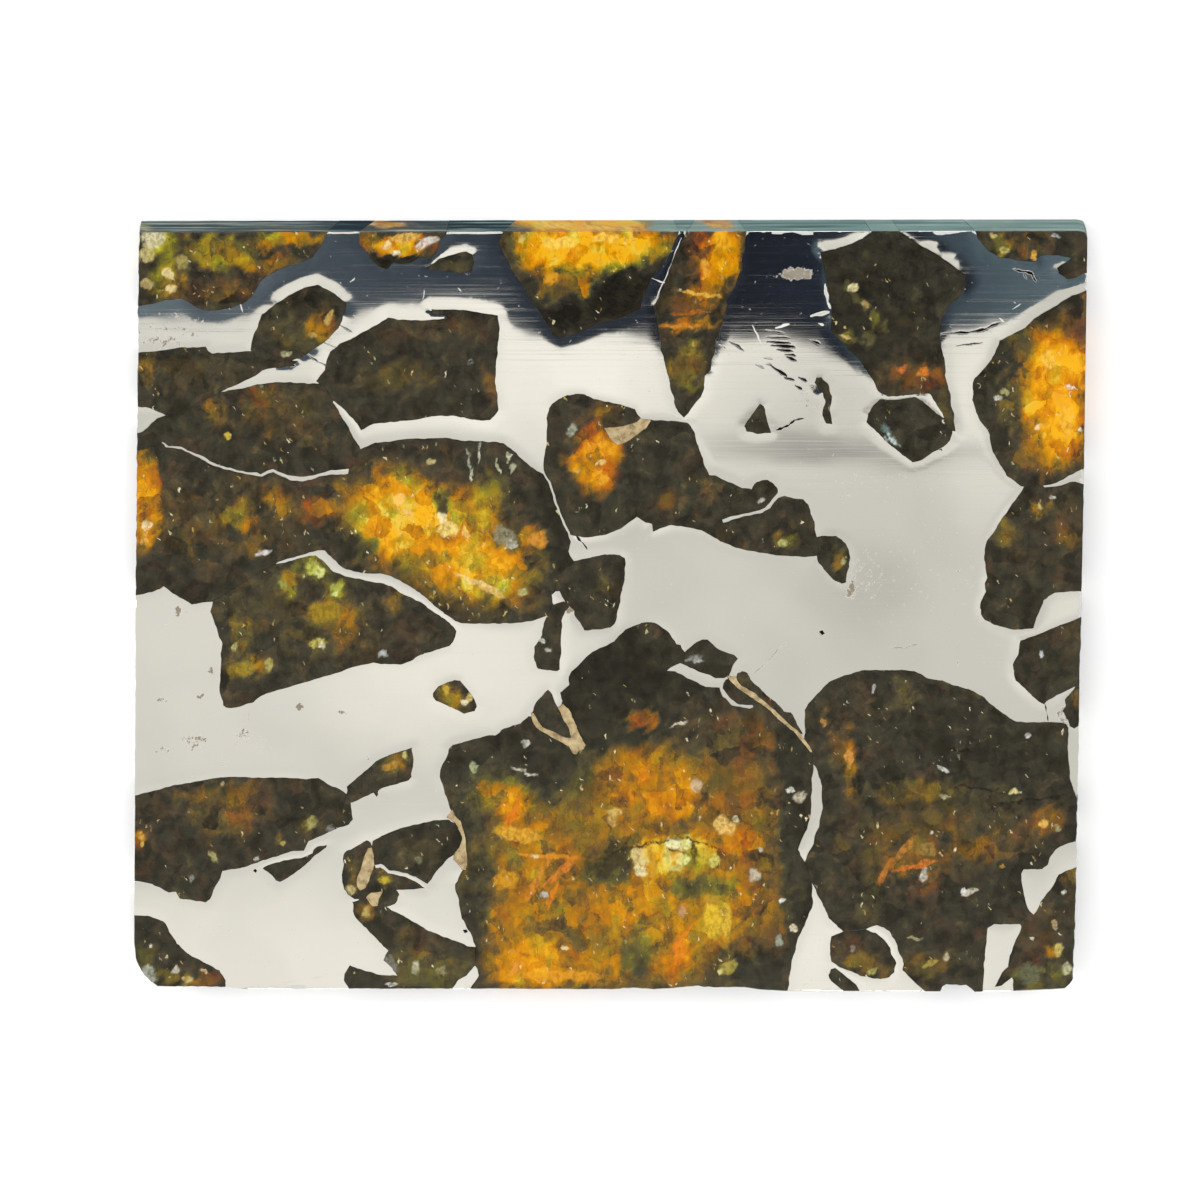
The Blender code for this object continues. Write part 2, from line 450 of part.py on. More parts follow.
def make_prism(name, points, moves, growth, overshoot):
    # A closed solid from below the slab's lower face to above its upper face, with leaning walls.
    steps = outward_steps(points)
    shape = bmesh.new()
    rings = []
    for level in (-overshoot, THICKNESS + overshoot):
        share = (THICKNESS - level) / THICKNESS
        ring = []
        for point, move, step in zip(points, moves, steps):
            place = point + move * share + step * growth
            ring.append(shape.verts.new((place.x, place.y, level)))
        rings.append(ring)
    lower, upper = rings
    shape.faces.new(lower[::-1])
    shape.faces.new(upper)
    for i in range(len(points)):
        shape.faces.new((lower[i - 1], lower[i], upper[i], upper[i - 1]))
    mesh = bpy.data.meshes.new(name)
    shape.to_mesh(mesh)
    shape.free()
    solid = bpy.data.objects.new(name, mesh)
    bpy.context.collection.objects.link(solid)
    return solid


def make_slab():
    points = face_outline(SLAB_OUTLINE)
    upright = [Vector((0.0, 0.0))] * len(points)
    return make_prism("slab", points, upright, 0.0, 0.0)


def make_grain(name):
    points = face_outline({**SCHREIBERSITE, **OLIVINE}[name])
    moves = grain_moves(points, OWN_NARROWING.get(name, 0.0))
    grain = make_prism(name, points, moves, 0.0, OVERSHOOT)
    room = make_prism(name + "_room", points, moves, GRAIN_GAP, OVERSHOOT)
    return grain, room


def carve(solid, operation, cutters):
    # Replaces the solid's mesh by its Boolean with all the cutters together.
    group = bpy.data.collections.new("cutters")
    for cutter in cutters:
        group.objects.link(cutter)
    modifier = solid.modifiers.new("carve", "BOOLEAN")
    modifier.solver = "EXACT"
    modifier.operation = operation
    modifier.operand_type = "COLLECTION"
    modifier.collection = group
    graph = bpy.context.evaluated_depsgraph_get()
    carved = bpy.data.meshes.new_from_object(solid.evaluated_get(graph))
    solid.modifiers.clear()
    solid.data = carved
    bpy.data.collections.remove(group)


def footprint(solid):
    xs = [vertex.co.x for vertex in solid.data.vertices]
    ys = [vertex.co.y for vertex in solid.data.vertices]
    return min(xs), max(xs), min(ys), max(ys)


def footprints_meet(first, second):
    left, right, near, far = footprint(first)
    other_left, other_right, other_near, other_far = footprint(second)
    return left < other_right and other_left < right and near < other_far and other_near < far


def make_grains(slab):
    # Each grain is cut to the slab, and then by the rooms of the grains named before it.
    grains = []
    rooms = []
    for name in [*SCHREIBERSITE, *OLIVINE]:
        grain, room = make_grain(name)
        carve(grain, "INTERSECT", [slab])
        neighbours = [other for other in rooms if footprints_meet(grain, other)]
        if neighbours:
            carve(grain, "DIFFERENCE", neighbours)
        grains.append(grain)
        rooms.append(room)
    return grains, rooms


def split_loose(solid):
    bpy.ops.object.select_all(action="DESELECT")
    solid.select_set(True)
    bpy.context.view_layer.objects.active = solid
    bpy.ops.mesh.separate(type="LOOSE")
    return list(bpy.context.selected_objects)


def lies_under(solid, picture_point):
    place = face_point(picture_point)
    start = Vector((place.x, place.y, 2.0 * THICKNESS))
    return solid.ray_cast(start, Vector((0.0, 0.0, -1.0)))[0]


def make_metal(slab, rooms):
    # The metal is what the grains leave of the slab. Crumbs at the corners of grains are dropped.
    metal = bpy.data.objects.new(MAIN_METAL, slab.data.copy())
    bpy.context.collection.objects.link(metal)
    carve(metal, "DIFFERENCE", rooms)
    pieces = split_loose(metal)
    metals = []
    for name, picture_point in METAL_PIECES.items():
        piece = next(piece for piece in pieces if lies_under(piece, picture_point))
        pieces.remove(piece)
        piece.name = name
        metals.append(piece)
    remove_objects(pieces)
    return metals


def mineral_of(name):
    if name in SCHREIBERSITE:
        return "schreibersite"
    if name not in OLIVINE:
        return "nickel iron"
    return "golden olivine" if name in GOLDEN_CRYSTALS else "dark olivine"


def main():
    remove_objects(bpy.data.objects)
    materials = make_minerals()
    slab = make_slab()
    grains, rooms = make_grains(slab)
    metals = make_metal(slab, rooms)
    remove_objects([slab, *rooms])
    for solid in grains + metals:
        solid.data.materials.clear()
        solid.data.materials.append(materials[mineral_of(solid.name)])


main()
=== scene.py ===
# Looks of a polished pallasite slice: golden and dark olivine in bright nickel-iron, lying on a pale table.
import json
import math

import bpy
import numpy as np
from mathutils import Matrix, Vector, kdtree


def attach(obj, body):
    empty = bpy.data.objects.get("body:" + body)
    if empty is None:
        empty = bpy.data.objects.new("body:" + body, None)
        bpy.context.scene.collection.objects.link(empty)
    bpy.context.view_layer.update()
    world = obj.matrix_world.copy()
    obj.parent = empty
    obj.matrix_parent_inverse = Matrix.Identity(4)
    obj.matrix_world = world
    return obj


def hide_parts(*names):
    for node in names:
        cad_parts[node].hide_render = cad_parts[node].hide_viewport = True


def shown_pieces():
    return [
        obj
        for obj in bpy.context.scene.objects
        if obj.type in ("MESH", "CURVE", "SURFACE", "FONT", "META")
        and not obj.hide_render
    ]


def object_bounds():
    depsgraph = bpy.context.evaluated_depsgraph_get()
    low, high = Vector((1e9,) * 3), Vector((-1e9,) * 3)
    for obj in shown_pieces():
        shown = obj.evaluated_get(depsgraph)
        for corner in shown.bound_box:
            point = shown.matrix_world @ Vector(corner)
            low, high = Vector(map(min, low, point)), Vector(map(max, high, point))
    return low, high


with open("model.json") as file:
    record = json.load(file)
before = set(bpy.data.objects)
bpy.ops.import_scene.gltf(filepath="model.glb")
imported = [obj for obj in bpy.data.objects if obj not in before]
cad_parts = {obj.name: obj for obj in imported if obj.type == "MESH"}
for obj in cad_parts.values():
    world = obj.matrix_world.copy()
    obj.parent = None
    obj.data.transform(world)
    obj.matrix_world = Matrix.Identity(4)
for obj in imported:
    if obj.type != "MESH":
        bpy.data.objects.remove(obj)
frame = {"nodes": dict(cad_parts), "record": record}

cadLow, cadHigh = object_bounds()
print("frame loaded:", len(frame["nodes"]), "nodes")

# The view of the photograph, which is 1200 by 1200 points
photoView = {
    "tilt": math.radians(12.0),
    "distance": 0.918,
    "middle": (600.0, 600.0),
    "focus": 14425.4,              # in points
    "target": (-0.00053, 0.00088),
    "size": 1200.0,
    "sensor": 36.0,
}
mm = 1000.0
faceHeight = cadHigh.z
top = faceHeight * mm
pointSize = photoView["distance"] / photoView["focus"] * mm    # millimetres on the face per point
origin = (0.0, 0.0, 0.0)
black = (0.0, 0.0, 0.0)


def onFace(x, y):
    # the place on the upper face, in millimetres, of a point of the photograph
    view = photoView
    across = (x - view["middle"][0]) / view["focus"]
    upward = (view["middle"][1] - y) / view["focus"]
    back = upward * view["distance"] / (math.cos(view["tilt"]) + upward * math.sin(view["tilt"]))
    depth = view["distance"] - back * math.sin(view["tilt"])
    return (across * depth + view["target"][0]) * mm, (back + view["target"][1]) * mm


def seen(red, green, blue, gain=1.0):
    # a colour as it is seen in the photograph, from 0 to 255, as a colour of light
    parts = [value / 255.0 for value in (red, green, blue)]
    return tuple(gain * (part / 12.92 if part < 0.04 else ((part + 0.055) / 1.055) ** 2.4) for part in parts)


# Small helpers for the materials. A wire is a node's output, and plain signs put a math node behind it.
class Wire:
    def __init__(self, socket):
        self.socket = socket

    def __add__(self, other):
        return operate("ADD", self, other)

    def __radd__(self, other):
        return operate("ADD", other, self)

    def __sub__(self, other):
        return operate("SUBTRACT", self, other)

    def __rsub__(self, other):
        return operate("SUBTRACT", other, self)

    def __mul__(self, other):
        return operate("MULTIPLY", self, other)

    def __truediv__(self, other):
        return operate("DIVIDE", self, other)


def wires(node):
    return {output.name: Wire(output) for output in node.outputs}


def newNode(tree, kind, **settings):
    node = tree.nodes.new(kind)
    for name, value in settings.items():
        setattr(node, name, value)
    return node


def feed(socket, value):
    # a value is a wire or a plain number, vector or colour
    if isinstance(value, Wire):
        socket.id_data.links.new(value.socket, socket)
    elif socket.type == "RGBA" and len(value) == 3:
        socket.default_value = (*value, 1.0)
    else:
        socket.default_value = value


def addNode(kind, values, **settings):
    # a node in the tree of the wires that feed it, with its inputs given by name or number
    tree = next(value.socket.id_data for value in values.values() if isinstance(value, Wire))
    node = newNode(tree, kind, **settings)
    for name, value in values.items():
        feed(node.inputs[name], value)
    return node


def isVector(value):
    return value.socket.type != "VALUE" if isinstance(value, Wire) else isinstance(value, tuple)


def operate(operation, *values, clamp=False):
    # a Math node, or a Vector Math node where a value is a vector or a colour
    if not any(isVector(value) for value in values):
        node = addNode("ShaderNodeMath", dict(enumerate(values)), operation=operation, use_clamp=clamp)
        return Wire(node.outputs["Value"])
    scaled = operation == "SCALE" or operation == "MULTIPLY" and not isVector(values[1])
    inputs = {0: values[0], "Scale": values[1]} if scaled else dict(enumerate(values))
    node = addNode("ShaderNodeVectorMath", inputs, operation="SCALE" if scaled else operation)
    return Wire(node.outputs["Value" if operation == "LENGTH" else "Vector"])


def parted(value):
    kind = "ShaderNodeSeparateColor" if value.socket.type == "RGBA" else "ShaderNodeSeparateXYZ"
    return wires(addNode(kind, {0: value}))


def noise(place, scale, detail=3.0, roughness=0.55, flat=True, output="Fac"):
    values = {"Vector": place, "Scale": scale, "Detail": detail, "Roughness": roughness}
    node = addNode("ShaderNodeTexNoise", values, noise_dimensions="2D" if flat else "3D")
    return Wire(node.outputs[output])


def cells(place, scale, feature="F1"):
    values = {"Vector": place, "Scale": scale}
    return wires(addNode("ShaderNodeTexVoronoi", values, voronoi_dimensions="2D", feature=feature))


def remap(value, low, high, toLow=0.0, toHigh=1.0, kind="LINEAR"):
    values = {"Value": value, "From Min": low, "From Max": high, "To Min": toLow, "To Max": toHigh}
    node = addNode("ShaderNodeMapRange", values, interpolation_type=kind, clamp=True)
    return Wire(node.outputs["Result"])


def blendColour(share, first, second, kind="MIX"):
    node = addNode("ShaderNodeMix", {0: share, 6: first, 7: second}, data_type="RGBA", blend_type=kind)
    return Wire(node.outputs[2])


def dimmed(colour, share):
    # the colour times a share, which counts as 1 where it is more
    return blendColour(share, black, colour)


def ramp(value, stops):
    node = addNode("ShaderNodeValToRGB", {"Fac": value})
    elements = node.color_ramp.elements
    while len(elements) < len(stops):
        elements.new(0.5)
    for element, (place, colour) in zip(elements, stops):
        element.position = place
        element.color = (*colour, 1.0)
    return Wire(node.outputs["Color"])


def newGroup(name, inputs, outputs):
    # inputs are named with their plain values, outputs with their kinds
    tree = bpy.data.node_groups.new(name, "ShaderNodeTree")
    for label, value in inputs.items():
        kind = "NodeSocketVector" if isinstance(value, tuple) else "NodeSocketFloat"
        tree.interface.new_socket(label, in_out="INPUT", socket_type=kind).default_value = value
    for label, kind in outputs.items():
        tree.interface.new_socket(label, in_out="OUTPUT", socket_type="NodeSocket" + kind)
    return tree, wires(newNode(tree, "NodeGroupInput")), newNode(tree, "NodeGroupOutput").inputs


def useGroup(group, **values):
    named = {name.replace("_", " "): value for name, value in values.items()}
    return wires(addNode("ShaderNodeGroup", named, node_tree=group))


def nodeMaterial(name):
    material = bpy.data.materials.new(name)
    material.use_nodes = True
    return material, material.node_tree, material.node_tree.nodes["Principled BSDF"]


def newMaterial(name):
    material, tree, shader = nodeMaterial(name)
    return material, tree, shader, wires(newNode(tree, "ShaderNodeTexCoord"))["Object"] * mm


def painted(tree, name):
    # what was painted on the piece's own corners
    return wires(newNode(tree, "ShaderNodeAttribute", attribute_name=name))


def addBump(shader, height, strength, distance):
    node = addNode("ShaderNodeBump", {"Height": height, "Strength": strength, "Distance": distance})
    feed(shader.inputs["Normal"], Wire(node.outputs["Normal"]))


# A soft ellipse of light that fades out to its rim, added to the light before it
def makeSoftSpot():
    inputs = {"Place": origin, "Centre": origin, "Size": (1.0, 1.0, 1.0), "Soft": 0.75,
              "Light": 1.0, "Before": 0.0}
    tree, given, out = newGroup("softSpot", inputs, {"Light": "Float"})
    offset = (given["Place"] - given["Centre"]) * (1.0, 1.0, 0.0)
    distance = operate("LENGTH", offset / given["Size"])
    share = remap(distance, 1.0 + given["Soft"], 1.0 - given["Soft"], kind="SMOOTHSTEP")
    feed(out["Light"], given["Before"] + share * given["Light"])
    return tree


# Ragged outlines for whatever is drawn inside a crystal. Below the polished face all of it leans outwards, so
# that the sawn sides show what lies near the face's edge.
grainLook = {
    "inward": 0.012,               # share of the place, and millimetres, for each millimetre below the face
    "aside": 0.2,
    "broad": 0.9,                  # how far the outlines wander, in broad and in fine waves
    "fine": 0.35,
}


def makeGrainWarp():
    look = grainLook
    outputs = {"Place": "Vector", "Near": "Vector", "Hue": "Float"}
    tree, given, out = newGroup("grainWarp", {"Place": origin}, outputs)
    below = top - parted(given["Place"])["Z"]
    inward = given["Place"] * (look["inward"], look["inward"], 0.0)
    place = given["Place"] + ((look["aside"], 0.0, 0.0) - inward) * below
    half = (0.5, 0.5, 0.5)
    broadNoise = noise(place, 0.7, 1.0, flat=False, output="Color")
    fineNoise = noise(place, 3.5, 1.0, flat=False, output="Color")
    near = place + (fineNoise - half) * look["fine"]
    feed(out["Near"], near)
    feed(out["Place"], near + (broadNoise - half) * look["broad"])
    feed(out["Hue"], parted(broadNoise)["Blue"])
    return tree


# Sawn sides: a mask for every wall of the slab, the saw's streaks along it, and a painted teal reflection on
# the long side towards +Y, which faces the camera, darker to the left, and hardly shown on the other three
sideLook = {
    "left": [(0.36, seen(0, 26, 36)), (0.48, seen(10, 48, 60)), (0.57, seen(50, 86, 94)),
             (0.67, seen(160, 180, 172))],
    "right": [(0.34, seen(96, 126, 124)), (0.48, seen(122, 156, 152)), (0.58, seen(134, 166, 162)),
              (0.68, seen(168, 190, 186))],
    "change": (2.0, 8.0),          # where left becomes right, in millimetres, with a border this much broken
    "broken": 14.0,
    "stretch": (0.09, 0.09, 1.5),
    "elsewhere": 0.10,
    "metalness": 0.12,
}


def makeSawnSide():
    look = sideLook
    outputs = {"Side": "Float", "Streaks": "Float", "PaintedReflection": "Color", "ReflectionMask": "Float"}
    tree, given, out = newGroup("sawnSide", {"Place": origin}, outputs)
    place = given["Place"]
    normal = parted(wires(newNode(tree, "ShaderNodeNewGeometry"))["True Normal"])
    side = remap(operate("ABSOLUTE", normal["Z"]), 0.55, 0.35)
    streaks = noise(place * look["stretch"], 1.6, 3.0, 0.6, flat=False)
    # the painted teal reflection: darker to the left, and shown mostly on the side towards +Y
    along = parted(place)["X"] + noise(place, 0.5, 2.0, flat=False) * look["broken"]
    tealReflection = blendColour(remap(along, *look["change"]),
                       ramp(streaks, look["left"]), ramp(streaks, look["right"]))
    feed(out["Side"], side)
    feed(out["Streaks"], streaks)
    feed(out["PaintedReflection"], tealReflection)
    feed(out["ReflectionMask"], side * remap(normal["Y"], 0.3, 0.6, look["elsewhere"], 1.0))
    return tree


# The inside of a crystal: murky glass, with a broken mosaic of red, gold and olive light where it is hot
crystalLook = {
    "murk": [(0.30, seen(38, 36, 29)), (0.44, seen(52, 50, 40)), (0.56, seen(60, 57, 45)),
             (0.68, seen(74, 69, 48)), (0.82, seen(104, 96, 62))],
    "slate": seen(44, 52, 50),
    "umber": seen(72, 48, 26),
    "red": [(0.0, black), (0.14, seen(58, 30, 14)), (0.34, seen(116, 56, 14)), (0.58, seen(174, 88, 10)),
            (0.82, seen(208, 120, 12)), (1.0, seen(230, 160, 40))],
    "gold": [(0.0, black), (0.14, seen(56, 42, 14)), (0.34, seen(118, 84, 14)), (0.58, seen(182, 122, 4)),
             (0.82, seen(222, 150, 2)), (1.0, seen(240, 180, 20))],
    "olive": [(0.0, black), (0.14, seen(50, 46, 20)), (0.34, seen(98, 92, 28)), (0.58, seen(142, 134, 32)),
              (0.82, seen(188, 180, 40)), (1.0, seen(224, 214, 92))],
    "glints": [(0.0, seen(120, 128, 112)), (0.4, seen(190, 160, 80)), (0.75, seen(226, 214, 160)),
               (1.0, seen(250, 246, 216))],
    "crack": seen(26, 18, 9),
    # swings of the heat
    "mosaic": {"cloud": 1.45, "coarse": 0.75, "fine": 0.45, "fibre": 0.7, "grit": 0.3},
    "coarseHue": 0.32,             # swings of the hue
    "fineHue": 0.14,
    "noiseHue": 0.8,
    "hottest": 1.5,                # the heat at the ramps' bright ends
    # painted glints: turn, stretch and how many per mm
    "glintFlakes": [(8.0, (1.3, 0.5, 1.0), 2.3), (-38.0, (1.3, 0.45, 1.0), 2.8)],
}


def makeCrystalInside():
    look = crystalLook
    inputs = {"Place": origin, "Near": origin, "Hue Noise": 0.5, "Heat": 0.0, "Hue": 0.0, "Mottle": 0.5}
    tree, given, out = newGroup("crystalInside", inputs, {"Colour": "Color", "Roughness": "Float"})
    place, near = given["Place"], given["Near"]
    heatIn = operate("MAXIMUM", given["Heat"], 0.0)
    # facets: neighbouring pieces of broken glass catch different light
    coarse = parted(cells(place, 0.95)["Color"])
    fine = parted(cells(place * (1.2, 0.8, 1.0), 2.3)["Color"])
    cloud = noise(place, 1.1)
    fibre = noise(near * (3.4, 0.7, 1.0), 1.6, 2.0)
    grit = noise(near, 6.0, 1.0)
    # heat with the mosaic on it
    parts = {"cloud": cloud, "coarse": coarse["Red"], "fine": fine["Red"], "fibre": fibre, "grit": grit}
    pattern = 0.0
    for name, weight in look["mosaic"].items():
        pattern = pattern + (parts[name] - 0.5) * weight
    patches = remap(noise(place, 0.42, 1.0), 0.38, 0.62, 0.35, 1.0)
    swing = given["Mottle"] * patches * 0.34 + operate("MINIMUM", heatIn, 1.0) * 0.55
    shown = (given["Heat"] + pattern * swing) / look["hottest"]
    # hue: the mean of the spots here, swung by the mosaic
    hue = given["Hue"] / operate("MAXIMUM", heatIn, 0.08)
    hue = hue + (coarse["Green"] - 0.45) * look["coarseHue"]
    hue = hue + (fine["Blue"] - 0.5) * look["fineHue"]
    hue = hue + (given["Hue Noise"] - 0.46) * look["noiseHue"]
    red, gold, olive = (ramp(shown, look[name]) for name in ("red", "gold", "olive"))
    glow = blendColour(remap(hue, 0.05, 0.5), red, gold)
    glow = blendColour(remap(hue, 0.55, 0.95), glow, olive)
    # the murky glass behind it
    depth = cloud * 0.7 + fine["Green"] * 0.10 + (grit - 0.5) * 0.05 + coarse["Green"] * 0.14
    murk = ramp(depth, look["murk"])
    murk = blendColour(remap(coarse["Blue"], 0.55, 1.0, 0.0, 0.4), murk, look["slate"], "SOFT_LIGHT")
    murk = blendColour(remap(given["Hue Noise"], 0.5, 0.75, 0.0, 0.5), murk, look["umber"], "SOFT_LIGHT")
    murk = blendColour(remap(shown, 0.12, 0.6), murk, black)
    murk = blendColour(remap(given["Heat"], 0.0, -1.0, 0.0, 0.7), murk, black)
    colour = blendColour(1.0, murk, glow, "ADD")
    # healed cracks: thin dark lines, here and there
    crack = remap(cells(place, 0.62, "DISTANCE_TO_EDGE")["Distance"], 0.022, 0.004)
    colour = blendColour(crack * remap(fibre, 0.45, 0.6, 0.0, 0.5), colour, look["crack"])
    # glints: thin pale flakes, in clusters, and more frequent where it is hot
    cluster = remap(noise(place, 0.5, 1.0), 0.55, 0.75)
    least = 0.990 - operate("MINIMUM", heatIn, 1.2) * 0.08 - cluster * 0.22
    for turn, stretch, often in look["glintFlakes"]:
        turned = addNode("ShaderNodeVectorRotate", {"Vector": near, "Angle": math.radians(turn)},
                         rotation_type="Z_AXIS")
        glintFlake = cells(wires(turned)["Vector"] * stretch, often)
        parts = parted(glintFlake["Color"])
        small = parts["Green"] * parts["Green"] * 0.14
        body = remap(glintFlake["Distance"], small + 0.13, small)
        glint = operate("GREATER_THAN", parts["Blue"], least) * body * remap(grit, 0.3, 0.6, 0.25, 0.9)
        colour = blendColour(glint, colour, ramp(parts["Red"], look["glints"]))
    feed(out["Colour"], colour)
    feed(out["Roughness"], grit * 0.12 + 0.05)
    return tree


softSpot = makeSoftSpot()
grainWarp = makeGrainWarp()
sawnSide = makeSawnSide()
crystalInside = makeCrystalInside()
